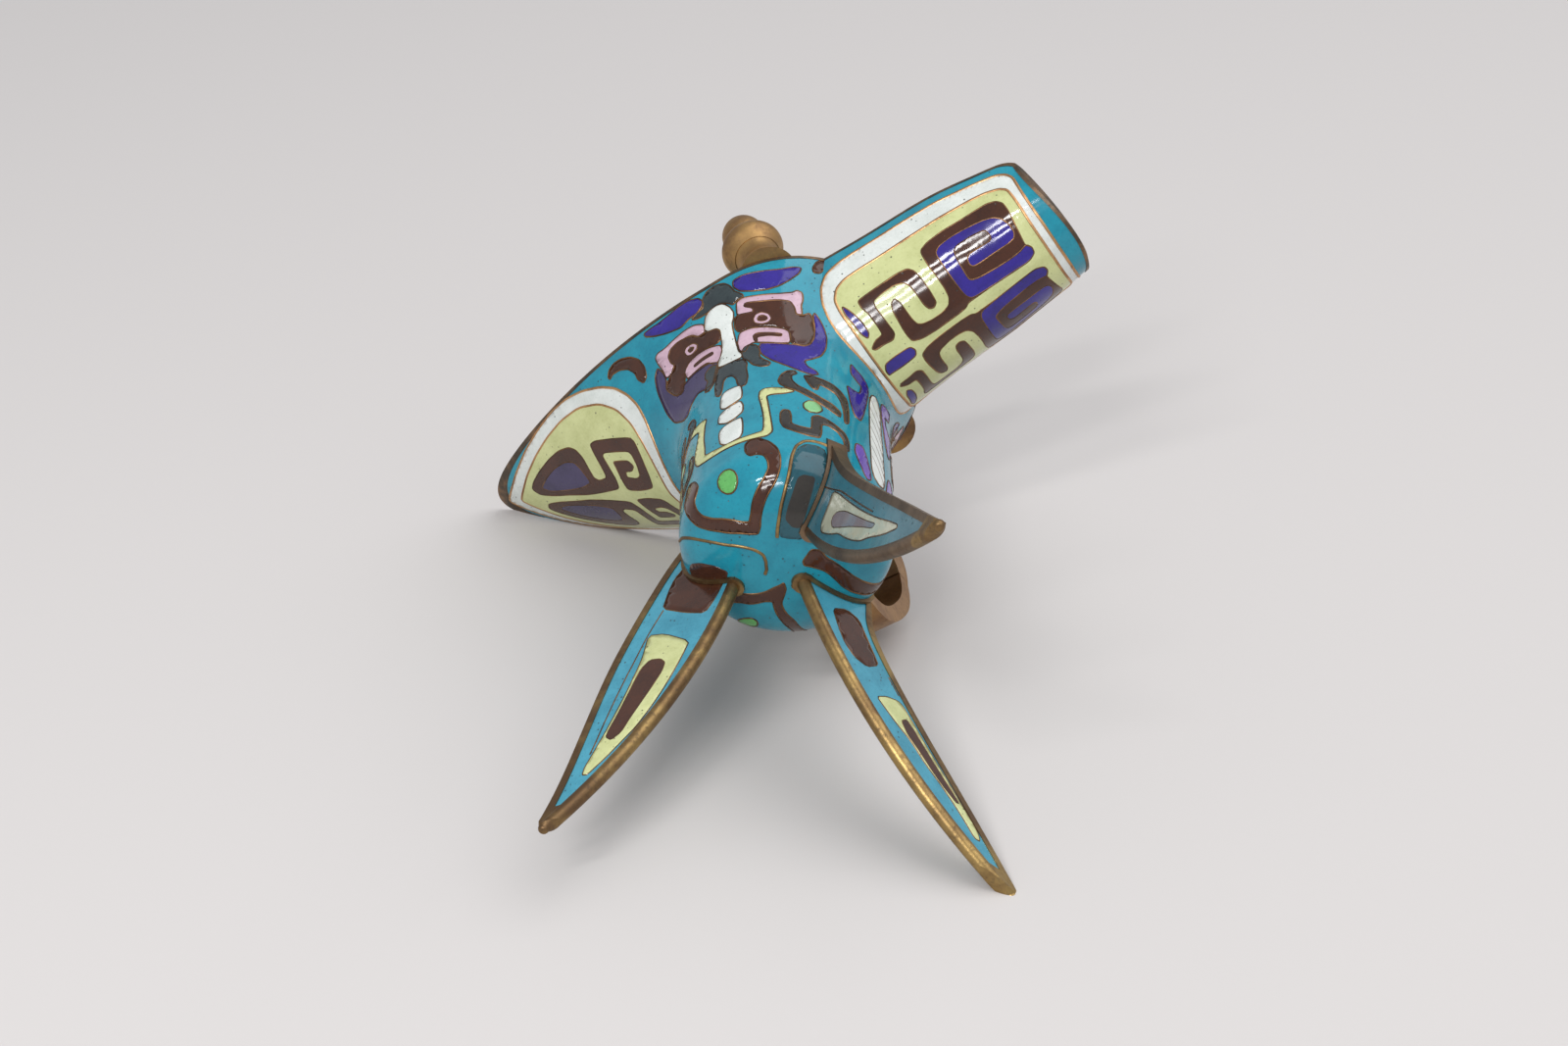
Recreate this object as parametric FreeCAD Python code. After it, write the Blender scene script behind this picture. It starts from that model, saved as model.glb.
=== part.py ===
import FreeCAD
import Part

import math
import os

# Jue vessel in cloisonné enamel on copper. Millimetres, +Z up, feet on z = 0.
# While it is modelled the bowl's axis is x = y = 0, the spout points along +X, the tail along -X and the
# handle stands on the +Y side. At the end everything is moved so that the origin is the middle of the base.

# Driving dimensions: the body
overall_length = 149.5
tail_reach = 78.2
tail_tip_height = 136.7
tail_keel_rise_share = 0.70
rim_low_height = 121.0
rim_low_x = 0.0
tail_rim_power_share = 2.18
spout_rim_power_share = 1.4
lip_corner_height = 130.2
lip_keel_height = 116.6
lip_bow = 4.6
lip_corner_size = 4.0
bowl_radius = 21.5
bowl_bottom_height = 53.5
bowl_round_depth = 12.0
bowl_round_power_share = 2.4
flare_growth = 9.8
flare_front_share = 0.84
flare_middle_height = 114.0
flare_softness = 5.0
keel_softness = 2.8
spout_root_x = 9.0
spout_half_width = 18.5
lip_half_width = 14.8
throat_keel_height = 100.3
cup_shaping_height = 80.0
bowl_seam_height = 90.0
spout_seam_x = 27.0
tail_seam_x = 34.0
trough_over_rim = 1.3
body_overrun = 8.0

# Driving dimensions: the layers of the wall
enamel_thickness = 0.8
copper_thickness = 1.2
lining_thickness = 0.5
rim_edge_height = 0.7
rim_edge_proud = 0.12

# Driving dimensions: the legs. The angle is seen from above, counted from the spout.
# The hollow is how far the middle of the outer edge is drawn in, the shoulder how far its upper part stands
# out, the rise how much higher than usual it meets the bowl, the belly how far the inner edge bulges and the
# sink how much lower than usual the inner edge starts.
legs = {
    "tail_leg": {
        "angle": 191.2, "tip_radius": 49.2, "hollow": 4.7, "shoulder": 6.2, "rise": 6.0, "belly": 0.4, "sink": -1.2,
    },
    "spout_leg": {
        "angle": 329.6, "tip_radius": 56.9, "hollow": 5.2, "shoulder": 0.6, "rise": 4.3, "belly": -1.3, "sink": -2.6,
    },
    "handle_leg": {
        "angle": 74.1, "tip_radius": 55.7, "hollow": 6.7, "shoulder": -3.4, "rise": -4.5, "belly": 3.9, "sink": 4.6,
    },
}
leg_root_height = 66.0
leg_root_outer_thickness = 2.4
leg_root_inner_thickness = 2.6
leg_blank_width = 20.0
leg_tip_thickness = 1.9
leg_panel_thickness = 0.5
leg_bead_radius = 1.4
leg_bead_inset = 0.5
leg_edge_width = 1.4
leg_edge_proud = 0.2
leg_tip_height = 4.4
leg_toe_radius = 1.05
leg_toe_inset = 1.2
leg_toe_centre_height = 0.75
leg_toe_cone_length = 10.0
leg_toe_cone_radius = 8.6
leg_collar_width = 0.9
leg_collar_height = 0.7

# Driving dimensions: the two posts on the rim
post_x = 11.2
post_side = 24.2
post_lean_out = 6.0
post_lean_back = 16.0
post_foot_radius = 6.0
post_foot_height = 2.6
post_grip_depth = 3.6
post_stem_radius = 4.9
post_stem_height = 4.8
post_cap_radius = 6.8
post_cap_height = 7.6
post_knob_radius = 4.7
post_knob_height = 8.0

# Driving dimensions: the handle
handle_angle = 92.5
handle_width = 9.6
handle_reach = 43.5
handle_thickness = 3.6
handle_low_height = 68.5
handle_joint_height = 94.0
handle_top_height = 105.5
handle_flute_count = 5
handle_flute_depth = 0.8
handle_flute_gap = 0.5
handle_pad_thickness = 0.9
handle_pad_margin = 1.4

# Outlines as shares, chosen by eye
spout_width_shares = [
    (0.00, 1.080), (0.11, 1.063), (0.21, 1.045), (0.29, 1.020), (0.385, 0.995), (0.51, 0.980),
    (0.63, 0.958), (0.75, 0.905), (0.85, 0.858), (0.93, 0.808), (0.995, 0.768), (1.06, 0.727),
]
leg_outer_shares = [
    (-0.22, 1.06), (0.00, 0.98), (0.14, 0.86), (0.32, 0.71), (0.50, 0.57), (0.65, 0.44), (0.80, 0.29),
    (0.92, 0.135), (1.00, 0.00),
]
leg_inner_root_shares = (-0.46, 0.90)
leg_inner_middle_shares = (-0.01, 0.475)
leg_inner_tip_shares = (0.985, -0.012)
lip_corner_shares = [
    (-1.00, 0.00), (-0.60, 0.06), (-0.25, 0.22), (0.00, 0.42), (0.30, 0.95), (0.62, 1.75), (1.15, 3.25), (3.50, 11.00),
]
post_cap_shares = [(0.74, 0.00), (0.84, 0.15), (0.97, 0.37), (0.99, 0.56), (0.86, 0.80), (0.60, 1.00)]
post_knob_shares = [(0.78, 0.00), (1.00, 0.32), (0.92, 0.62), (0.55, 0.90)]
post_stem_waist_share = 0.88
post_foot_neck_share = 0.82
handle_outer_shares = [(0.00, 0.00), (0.46, 0.06), (0.84, 0.42), (1.00, 0.76), (0.975, 1.00)]
handle_head_shares = [(0.00, 1.00), (0.42, 0.98), (0.84, 0.72), (0.98, 0.00)]
handle_head_inner_shares = [(0.00, 0.30), (0.40, 0.32), (0.70, 0.22), (0.80, 0.00)]
ring_station_shares = [
    0.000, 0.062, 0.116, 0.162, 0.200, 0.232, 0.263, 0.294, 0.325, 0.363, 0.410, 0.464, 0.526, 0.587, 0.657,
    0.734, 0.819, 0.904, 1.000,
]

spout_reach = overall_length - tail_reach
wall_thickness = enamel_thickness + copper_thickness + lining_thickness

PARTS = {}
FORMS = {}


def point(x, y, z):
    return FreeCAD.Vector(x, y, z)


def spline(points):
    curve = Part.BSplineCurve()
    curve.interpolate(points)
    return curve.toShape()


def solid_of(shape):
    """Keep the largest solid of a boolean's result."""
    solids = sorted(shape.Solids, key=lambda s: s.Volume)
    return solids[-1]


def add(name, shape):
    PARTS[name] = shape


def turn_round_z(shape, angle):
    shape.rotate(point(0, 0, 0), point(0, 0, 1), angle)


def slab_between(outer, inner, width):
    """A bent strip: the area between two runs of points in the XZ plane, width thick along Y."""
    edges = [
        spline(outer),
        Part.makeLine(outer[-1], inner[-1]),
        spline(list(reversed(inner))),
        Part.makeLine(inner[0], outer[0]),
    ]
    face = Part.Face(Part.Wire(edges))
    face.translate(point(0, -width / 2, 0))
    return face.extrude(point(0, width, 0))


def moved_in(points, distance):
    """The same run of points, moved at right angles to its own direction."""
    result = []
    for k in range(len(points)):
        before = points[max(k - 1, 0)]
        after = points[min(k + 1, len(points) - 1)]
        along = (after - before).normalize()
        result.append(points[k] + point(along.z, 0, -along.x).multiply(distance))
    return result


def between_x(low, high):
    size = 2 * overall_length
    return Part.makeBox(high - low, size, size, point(low, -size / 2, 0))


def above_z(low):
    size = 2 * overall_length
    return Part.makeBox(size, size, size, point(-size / 2, -size / 2, low))


def below_z(high):
    size = 2 * overall_length
    return Part.makeBox(size, size, size, point(-size / 2, -size / 2, high - size))


def beside_y(sign):
    size = 2 * overall_length
    low = 0 if sign > 0 else -size
    return Part.makeBox(size, size, size, point(-size / 2, low, -size / 2))


# The body's form


def flare_share(z):
    return 1.0 / (1.0 + math.exp((flare_middle_height - z) / flare_softness))


def flare(z):
    """How much wider the cup is here than at its round body."""
    return flare_growth * max(flare_share(z) - flare_share(cup_shaping_height), 0.0)


def mouth_radius(z, inset):
    """Half the width of the cup: nearly straight below, flaring to the mouth."""
    return bowl_radius - inset + flare(z)


def tail_growth(z, inset):
    """How far the tail stands out of the round cup, with a soft knee where it begins."""
    start = tail_tip_height - tail_keel_rise_share * (tail_reach - bowl_radius)
    slope_shift = (1.0 / math.sin(math.atan(tail_keel_rise_share)) - 1.0) * inset
    grown = (z - start) / tail_keel_rise_share - flare(z) - slope_shift
    return keel_softness * math.log(1.0 + math.exp(grown / keel_softness))


def tail_length(z, inset):
    """How far the horizontal section reaches towards the tail at this height."""
    growth = tail_growth(z, inset) - tail_growth(cup_shaping_height, inset)
    return mouth_radius(z, inset) + max(growth, 0.0)


def rim_height(x):
    if x < rim_low_x:
        share = (rim_low_x - x) / (rim_low_x + tail_reach)
        return rim_low_height + (tail_tip_height - rim_low_height) * share ** tail_rim_power_share
    share = min((x - rim_low_x) / (spout_reach - lip_bow - rim_low_x), 1.0)
    rise = (share * (2.0 - share)) ** spout_rim_power_share
    return rim_low_height + (lip_corner_height - rim_low_height) * rise


def ring(z, inset):
    """Closed horizontal section: a short half ellipse towards the spout, a long one towards the tail."""
    radius = mouth_radius(z, inset)
    reach = tail_length(z, inset)
    front_reach = bowl_radius - inset + flare(z) * flare_front_share
    short = Part.Ellipse(point(0, radius, z), point(-front_reach, 0, z), point(0, 0, z))
    front = Part.ArcOfEllipse(short, math.pi, 2 * math.pi).toShape()
    long = Part.Ellipse(point(-reach, 0, z), point(0, radius, z), point(0, 0, z))
    back = Part.ArcOfEllipse(long, -math.pi / 2, math.pi / 2).toShape()
    return Part.Wire(Part.__sortEdges__([front, back]))


def bowl_bottom(inset):
    """Rounded underside of the bowl up to where the wall turns upright."""
    top = bowl_bottom_height + bowl_round_depth
    radius = mouth_radius(top, inset)
    depth = bowl_round_depth - inset
    steps = 8
    power = 2.0 / bowl_round_power_share
    curve = []
    for k in range(steps + 1):
        angle = math.pi / 2 * k / steps
        out = radius * math.sin(angle) ** power
        down = depth * max(math.cos(angle), 0.0) ** power
        curve.append(point(out, 0, top - down))
    edges = [
        spline(curve),
        Part.makeLine(curve[-1], point(0, 0, top)),
        Part.makeLine(point(0, 0, top), curve[0]),
    ]
    face = Part.Face(Part.Wire(edges))
    return face.revolve(point(0, 0, 0), point(0, 0, 1), 360)


def bowl_wall(inset, top):
    """Upright round wall of the bowl from its underside up to the height top."""
    low = bowl_bottom_height + bowl_round_depth
    return Part.makeCylinder(bowl_radius - inset, top - low, point(0, 0, low))


def cup_and_tail(inset):
    """The cup from where it leaves the round, with the tail that grows out of it."""
    low = cup_shaping_height
    high = tail_tip_height + body_overrun
    rings = [ring(low + (high - low) * share, inset) for share in ring_station_shares]
    return Part.makeLoft(rings, True, False)


def trough_section(x, half_width, keel, inset):
    """Cross-section of the spout: half round below, upright above the rim."""
    top = rim_height(x) + trough_over_rim
    wide = half_width - inset
    deep = top - keel - inset
    steps = 10
    curve = []
    for k in range(steps + 1):
        angle = math.pi * k / steps
        curve.append(point(x, -wide * math.cos(angle), top - deep * math.sin(angle)))
    left = curve[0] + point(0, 0, body_overrun)
    right = curve[-1] + point(0, 0, body_overrun)
    edges = [
        spline(curve),
        Part.makeLine(curve[-1], right),
        Part.makeLine(right, left),
        Part.makeLine(left, curve[0]),
    ]
    return Part.Wire(edges)


def spout_trough(inset):
    sections = []
    for share, width_share in spout_width_shares:
        x = spout_root_x + (spout_reach - spout_root_x) * share
        keel = throat_keel_height + (lip_keel_height - throat_keel_height) * share
        sections.append(trough_section(x, spout_half_width * width_share, keel, inset))
    return Part.makeLoft(sections, True, False)


def form(inset):
    """The whole vessel as a filled solid, its surface moved in by inset."""
    if inset not in FORMS:
        bowl = bowl_bottom(inset).fuse(bowl_wall(inset, cup_shaping_height))
        FORMS[inset] = solid_of(bowl.fuse(cup_and_tail(inset)).fuse(spout_trough(inset)))
    return FORMS[inset]


def under_rim(drop):
    """Everything below the rim line and behind the lip, both moved in by drop. The lip's corners are round."""
    side = overall_length
    steps = 24
    lip_x = spout_reach - lip_bow - drop
    start = -tail_reach - body_overrun
    end = lip_x + lip_corner_size * lip_corner_shares[0][0]
    top = []
    for k in range(steps + 1):
        x = start + (end - start) * k / steps
        top.append(point(x, -side, rim_height(x) - drop))
    corner = [top[-1]]
    for beyond, lower in lip_corner_shares[1:]:
        x = lip_x + lip_corner_size * beyond
        corner.append(point(x, -side, rim_height(x) - drop - lip_corner_size * lower))
    low_end = point(corner[-1].x, -side, 0)
    low_start = point(start, -side, 0)
    edges = [
        spline(top),
        spline(corner),
        Part.makeLine(corner[-1], low_end),
        Part.makeLine(low_end, low_start),
        Part.makeLine(low_start, top[0]),
    ]
    below = Part.Face(Part.Wire(edges)).extrude(point(0, 2 * side, 0))
    bow_radius = (lip_bow ** 2 + lip_half_width ** 2) / (2 * lip_bow)
    centre_x = spout_reach - drop - bow_radius
    disc = Part.makeCylinder(bow_radius, overall_length, point(centre_x, 0, 0))
    behind = Part.makeBox(
        centre_x + overall_length, 2 * side, overall_length, point(-overall_length, -side, 0)
    )
    return below.common(disc.fuse(behind))


def make_body_layers():
    room = under_rim(rim_edge_height)
    layers = (
        ("enamel", 0.0, enamel_thickness),
        ("shell", enamel_thickness, enamel_thickness + copper_thickness),
        ("lining", enamel_thickness + copper_thickness, wall_thickness),
    )
    for layer, outer, inner in layers:
        wall = form(outer).cut(form(inner)).common(room)
        upper = wall.common(above_z(bowl_seam_height))
        add("bowl_" + layer, solid_of(wall.common(below_z(bowl_seam_height))))
        add("mouth_" + layer, solid_of(upper.common(between_x(-tail_seam_x, spout_seam_x))))
        add("spout_" + layer, solid_of(upper.common(between_x(spout_seam_x, overall_length))))
        add("tail_" + layer, solid_of(upper.common(between_x(-overall_length, -tail_seam_x))))


def make_rim_edges():
    """The gilt edge along the whole rim, in one strip for each plate of the body."""
    wall = form(-rim_edge_proud).cut(form(wall_thickness))
    edge = wall.common(under_rim(0.0)).cut(under_rim(rim_edge_height))
    middle = edge.common(between_x(-tail_seam_x, spout_seam_x))
    add("left_mouth_rim_edge", solid_of(middle.common(beside_y(1))))
    add("right_mouth_rim_edge", solid_of(middle.common(beside_y(-1))))
    add("spout_rim_edge", solid_of(edge.common(between_x(spout_seam_x, overall_length))))
    add("tail_rim_edge", solid_of(edge.common(between_x(-overall_length, -tail_seam_x))))


# The legs. Each is modelled in the XZ plane and then turned to its place.


def leg_point(shares, leg):
    r = bowl_radius + (leg["tip_radius"] - bowl_radius) * shares[0]
    return point(r, 0, leg_root_height * shares[1])


def leg_outer_points(leg):
    points = []
    for r_share, z_share in leg_outer_shares:
        below_root = max(z_share * (1.0 - z_share), 0.0)
        drawn_in = leg["hollow"] * 4.0 * below_root
        stands_out = leg["shoulder"] * 27.0 / 4.0 * below_root * z_share
        raised = leg["rise"] * max(z_share, 0.0) ** 3
        points.append(leg_point((r_share, z_share), leg) + point(stands_out - drawn_in, 0, raised))
    return points


def leg_inner_points(leg, grow):
    """Root, middle and tip of the arc along the leg's inner side, moved inwards by grow."""
    inward = point(-grow, 0, -grow) * math.sqrt(0.5)
    bulge = point(-leg["belly"], 0, -leg["belly"]) * math.sqrt(0.5)
    sunk = point(-leg["sink"], 0, -leg["sink"]) * math.sqrt(0.5)
    root = leg_point(leg_inner_root_shares, leg) + inward + sunk
    middle = leg_point(leg_inner_middle_shares, leg) + inward + bulge
    tip = leg_point(leg_inner_tip_shares, leg) + inward
    return root, middle, tip


def leg_side(leg, sign, extra):
    """Everything on the inner side of one of the leg's two flat faces, the face moved out by extra."""
    outer_root = point(bowl_radius, sign * leg_root_outer_thickness / 2, leg_root_height)
    inner_root = point(0, sign * leg_root_inner_thickness / 2, leg_root_height)
    tip = point(leg["tip_radius"], sign * leg_tip_thickness / 2, 0)
    outward = (inner_root - outer_root).cross(tip - outer_root).normalize()
    if outward.y * sign < 0:
        outward = outward * -1
    size = 2 * overall_length
    block = Part.makeBox(size, size, size, point(-size / 2, -size / 2, -size))
    block.Placement = FreeCAD.Placement(
        outer_root + outward * extra, FreeCAD.Rotation(point(0, 0, 1), outward)
    )
    return block


def leg_room(leg, extra):
    """The wedge between the leg's two flat faces."""
    return leg_side(leg, 1, extra).common(leg_side(leg, -1, extra))


def leg_blank(leg, grow):
    """Side outline of the leg: a run of points outside, one arc inside."""
    outer = moved_in(leg_outer_points(leg), -grow)
    root, middle, tip = leg_inner_points(leg, grow)
    edges = [
        spline(outer),
        Part.makeLine(outer[-1], tip),
        Part.Arc(tip, middle, root).toShape(),
        Part.makeLine(root, outer[0]),
    ]
    face = Part.Face(Part.Wire(edges))
    face.translate(point(0, -leg_blank_width / 2, 0))
    return face.extrude(point(0, leg_blank_width, 0))


def leg_bead(leg, radius):
    """Round bead that follows the inner edge."""
    root, middle, tip = leg_inner_points(leg, -leg_bead_inset)
    path = Part.Arc(root, middle, tip).toShape()
    start = path.valueAt(path.FirstParameter)
    along = path.tangentAt(path.FirstParameter)
    circle = Part.Wire(Part.makeCircle(radius, start, along))
    return Part.Wire(path).makePipeShell([circle], True, False)


def leg_edge_band(leg):
    outer = leg_outer_points(leg)
    return slab_between(
        moved_in(outer, -leg_edge_proud), moved_in(outer, leg_edge_width), leg_blank_width
    )


def leg_toe_room(leg):
    """A ball with a cone on it, lying along the leg: it rounds the toe to a blunt point."""
    outer_way = leg_point(leg_outer_shares[-2], leg) - leg_point(leg_outer_shares[-1], leg)
    inner_way = leg_point(leg_inner_middle_shares, leg) - leg_point(leg_inner_tip_shares, leg)
    along = outer_way.normalize() + inner_way.normalize()
    centre = point(leg["tip_radius"] - leg_toe_inset, 0, leg_toe_centre_height)
    cone = Part.makeCone(leg_toe_radius, leg_toe_cone_radius, leg_toe_cone_length, centre, along)
    return cone.fuse(Part.makeSphere(leg_toe_radius, centre))


def make_leg(name, leg):
    bowl = bowl_bottom(0.0).fuse(bowl_wall(0.0, bowl_seam_height))
    above_toe = above_z(leg_tip_height)
    blank = leg_blank(leg, -leg_bead_inset)
    bead = leg_bead(leg, leg_bead_radius)
    band = leg_edge_band(leg).common(leg_room(leg, leg_edge_proud)).cut(bead)
    inside = blank.cut(bead).cut(leg_edge_band(leg))
    core = inside.common(leg_room(leg, -leg_panel_thickness))
    skins = inside.common(leg_room(leg, 0.0)).cut(leg_room(leg, -leg_panel_thickness))
    whole = leg_blank(leg, 0.0).common(leg_room(leg, leg_edge_proud)).fuse(bead).fuse(band)
    pieces = {
        "core": core.common(above_toe).cut(bowl),
        "left_enamel": skins.common(beside_y(1)).common(above_toe).cut(bowl),
        "right_enamel": skins.common(beside_y(-1)).common(above_toe).cut(bowl),
        "inner_bead": bead.common(above_toe).cut(bowl),
        "outer_edge": band.common(above_toe).cut(bowl),
        "tip": whole.common(leg_toe_room(leg)).common(above_z(0)).cut(above_toe),
    }
    grown = leg_blank(leg, leg_collar_width).common(leg_room(leg, leg_collar_width))
    grown = grown.fuse(leg_bead(leg, leg_bead_radius + leg_collar_width))
    skin = bowl_bottom(-leg_collar_height).fuse(bowl_wall(-leg_collar_height, bowl_seam_height)).cut(bowl)
    pieces["root_collar"] = grown.common(skin).cut(whole)
    for piece, shape in pieces.items():
        kept = solid_of(shape)
        turn_round_z(kept, leg["angle"])
        add(name + "_" + piece, kept)


# The posts


def turned(profile):
    """Solid of revolution from a run of (radius, height) points, bottom to top."""
    first = profile[0]
    last = profile[-1]
    edges = [
        spline([point(r, 0, z) for r, z in profile]),
        Part.makeLine(point(last[0], 0, last[1]), point(0, 0, last[1])),
        Part.makeLine(point(0, 0, last[1]), point(0, 0, first[1])),
        Part.makeLine(point(0, 0, first[1]), point(first[0], 0, first[1])),
    ]
    return Part.Face(Part.Wire(edges)).revolve(point(0, 0, 0), point(0, 0, 1), 360)


def make_post(name, side):
    foot_top = post_foot_height
    stem_top = foot_top + post_stem_height
    cap_top = stem_top + post_cap_height
    foot = turned([
        (post_foot_radius, -post_grip_depth),
        (post_foot_radius, 0),
        (post_foot_radius * (1 + post_foot_neck_share) / 2, foot_top / 2),
        (post_foot_radius * post_foot_neck_share, foot_top),
    ])
    stem = turned([
        (post_stem_radius, foot_top),
        (post_stem_radius * post_stem_waist_share, (foot_top + stem_top) / 2),
        (post_stem_radius, stem_top),
    ])
    cap = turned([(post_cap_radius * r, stem_top + post_cap_height * z) for r, z in post_cap_shares])
    knob = turned([(post_knob_radius * r, cap_top + post_knob_height * z) for r, z in post_knob_shares])
    base = point(post_x, side * post_side, rim_height(post_x))
    pieces = {"foot": foot, "stem": stem, "cap": cap, "knob": knob}
    for piece, shape in pieces.items():
        shape.rotate(point(0, 0, 0), point(1, 0, 0), -side * post_lean_out)
        shape.rotate(point(0, 0, 0), point(0, 1, 0), -post_lean_back)
        shape.translate(base)
        if piece == "foot":
            shape = seated_on_rim(shape)
        add(name + "_" + piece, shape)


def seated_on_rim(shape):
    """The foot stands on the rim and reaches down only inside the mouth."""
    over = shape.cut(under_rim(0.0))
    inside = shape.common(form(wall_thickness)).common(under_rim(0.0))
    return solid_of(over.fuse(inside))


# The handle


def handle_points(shares, low, high):
    """A run of points outside the bowl; it starts a little inside the bowl's wall."""
    reach = handle_reach - bowl_radius
    run = [point(bowl_radius + reach * a, 0, low + (high - low) * b) for a, b in shares]
    return [run[0] - point(handle_thickness, 0, 0)] + run


def handle_flutes(outer):
    """Grooves that run along the head, side by side."""
    pitch = handle_width / handle_flute_count
    above = moved_in(outer, -handle_flute_depth)
    below = moved_in(outer, handle_flute_depth)
    grooves = []
    for k in range(1, handle_flute_count):
        groove = slab_between(above, below, handle_flute_gap)
        groove.translate(point(0, -handle_width / 2 + pitch * k, 0))
        grooves.append(groove)
    return grooves[0].multiFuse(grooves[1:])


def make_handle():
    outer = handle_points(handle_outer_shares, handle_low_height, handle_joint_height)
    strap = slab_between(outer, moved_in(outer, -handle_thickness), handle_width)
    head_outer = handle_points(handle_head_shares, handle_joint_height, handle_top_height)
    head_inner = handle_points(handle_head_inner_shares, handle_joint_height, handle_top_height)
    head = slab_between(head_outer, head_inner, handle_width).cut(handle_flutes(head_outer))
    pads_room = form(-handle_pad_thickness)
    for name, shape in (("handle_strap", strap), ("handle_head", head)):
        turn_round_z(shape, handle_angle)
        add(name, solid_of(shape.cut(pads_room)))
    skin = pads_room.cut(form(0.0))
    for name, low, high in (
        ("handle_lower_pad", handle_low_height, handle_low_height + handle_thickness),
        ("handle_upper_pad", handle_joint_height, handle_top_height),
    ):
        width = handle_width + 2 * handle_pad_margin
        height = high - low + 2 * handle_pad_margin
        block = Part.makeBox(handle_reach, width, height, point(0, -width / 2, low - handle_pad_margin))
        turn_round_z(block, handle_angle)
        add(name, solid_of(block.common(skin)))


def export_parts():
    os.makedirs("parts", exist_ok=True)
    box = FreeCAD.BoundBox()
    for shape in PARTS.values():
        box.add(shape.optimalBoundingBox(False, False))
    shift = point(-box.Center.x, -box.Center.y, -box.ZMin)
    for name in sorted(PARTS):
        shape = PARTS[name]
        shape.translate(shift)
        shape.exportStep(os.path.join("parts", name + ".step"))
        print(name, len(shape.Solids), round(shape.Volume, 2), shape.isValid())
    print("bowl axis at", round(shift.x, 3), round(shift.y, 3), "size", box.XLength, box.YLength, box.ZLength)


make_body_layers()
make_rim_edges()
for leg_name, leg_values in legs.items():
    make_leg(leg_name, leg_values)
make_post("left_post", 1)
make_post("right_post", -1)
make_handle()
export_parts()
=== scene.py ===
# %% [markdown]
# # A jue wine vessel in cloisonne enamel
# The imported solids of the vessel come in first. They are the fixed frame: nothing moves them.
# Everything that this file adds to the vessel is enamel, wire or gilding that lies on those solids.
# Lengths on the vessel are written in millimetres, because it is small enough to hold. Lamps, noise and
# bumps use Blender's own metres.

# %% Load the solids
import math

import bpy
from mathutils import Matrix, Vector, geometry
from mathutils.bvhtree import BVHTree


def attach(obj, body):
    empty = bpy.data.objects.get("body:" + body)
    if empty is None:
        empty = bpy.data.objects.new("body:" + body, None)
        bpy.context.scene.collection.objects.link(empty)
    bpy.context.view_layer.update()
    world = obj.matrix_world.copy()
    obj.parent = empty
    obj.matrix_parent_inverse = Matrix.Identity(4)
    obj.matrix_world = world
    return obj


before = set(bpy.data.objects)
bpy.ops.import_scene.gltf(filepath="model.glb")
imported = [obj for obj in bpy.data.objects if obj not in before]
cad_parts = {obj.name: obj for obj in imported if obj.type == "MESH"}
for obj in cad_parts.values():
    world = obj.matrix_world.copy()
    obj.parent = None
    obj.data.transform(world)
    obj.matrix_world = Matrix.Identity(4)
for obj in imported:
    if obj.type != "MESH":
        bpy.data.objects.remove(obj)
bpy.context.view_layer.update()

MM = 0.001
BOWL_AXIS = Vector((3.73, -10.675, 0.0))
print("solids:", len(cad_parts))

# %% [markdown]
# ## The camera
# The vessel was laid on its side and looked at from below its feet, so the camera sits low and looks up.
# A camera can be aimed with a Track To constraint, but a matrix made of three axes keeps the roll exactly
# as it was worked out. Blender's camera looks along its own -Z, so the third axis points backwards.

# %% Camera
CAMERA_FROM_BOWL = Vector((156.57, -241.75, -322.7))
RIGHT, UP, BACK = (0.8355, 0.5495, -0.0035), (0.4447, -0.6723, 0.5919), (0.3229, -0.4961, -0.8060)
camera_data = bpy.data.cameras.new("camera")
camera_data.sensor_width = 36.0
camera_data.lens = 55.94
camera = bpy.data.objects.new("camera", camera_data)
stand = Matrix.Translation((BOWL_AXIS + CAMERA_FROM_BOWL) * MM)
camera.matrix_world = stand @ Matrix((RIGHT, UP, BACK)).transposed().to_4x4()
bpy.context.scene.collection.objects.link(camera)
bpy.context.scene.camera = camera
print("camera at", [round(c, 3) for c in camera.matrix_world.translation])

# %% [markdown]
# ## The form of the body, as formulas
# Enamel follows the copper under it, so each cell has to lie on a curved wall. A Shrinkwrap modifier could
# press flat cells on, but it makes them follow every small facet of the target. The wall is known exactly,
# so these short functions give it again: the radius of the mouth, how far the tail stands out, and the rim.

# %% Formulas of the wall
BOWL_RADIUS = 21.5
MOUTH_FOOT = 80.0
FLARE_OUT, FLARE_HEIGHT, FLARE_SOFTNESS, FLARE_IN_FRONT = 9.8, 114.0, 5.0, 0.84
TAIL_START, TAIL_SLOPE, TAIL_SOFTNESS = 97.01, 0.7, 2.8
RIM_LOW = 121.0
TAIL_TIP, TAIL_RISE, TAIL_BEND = 78.2, 15.7, 2.18
SPOUT_TIP, SPOUT_RISE, SPOUT_BEND = 66.7, 9.2, 1.4


def s_curve(z):
    """0 well below the flare, 1 well above it."""
    return 1.0 / (1.0 + math.exp((FLARE_HEIGHT - z) / FLARE_SOFTNESS))


def flare(z):
    return FLARE_OUT * max(s_curve(z) - s_curve(MOUTH_FOOT), 0.0)


def mouth_radius(z):
    return BOWL_RADIUS + flare(z)


def front_reach(z):
    return BOWL_RADIUS + FLARE_IN_FRONT * flare(z)


def tail_growth(z):
    beyond = (z - TAIL_START) / TAIL_SLOPE - flare(z)
    return TAIL_SOFTNESS * math.log(1.0 + math.exp(beyond / TAIL_SOFTNESS))


def tail_length(z):
    return mouth_radius(z) + max(tail_growth(z) - tail_growth(MOUTH_FOOT), 0.0)


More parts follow.
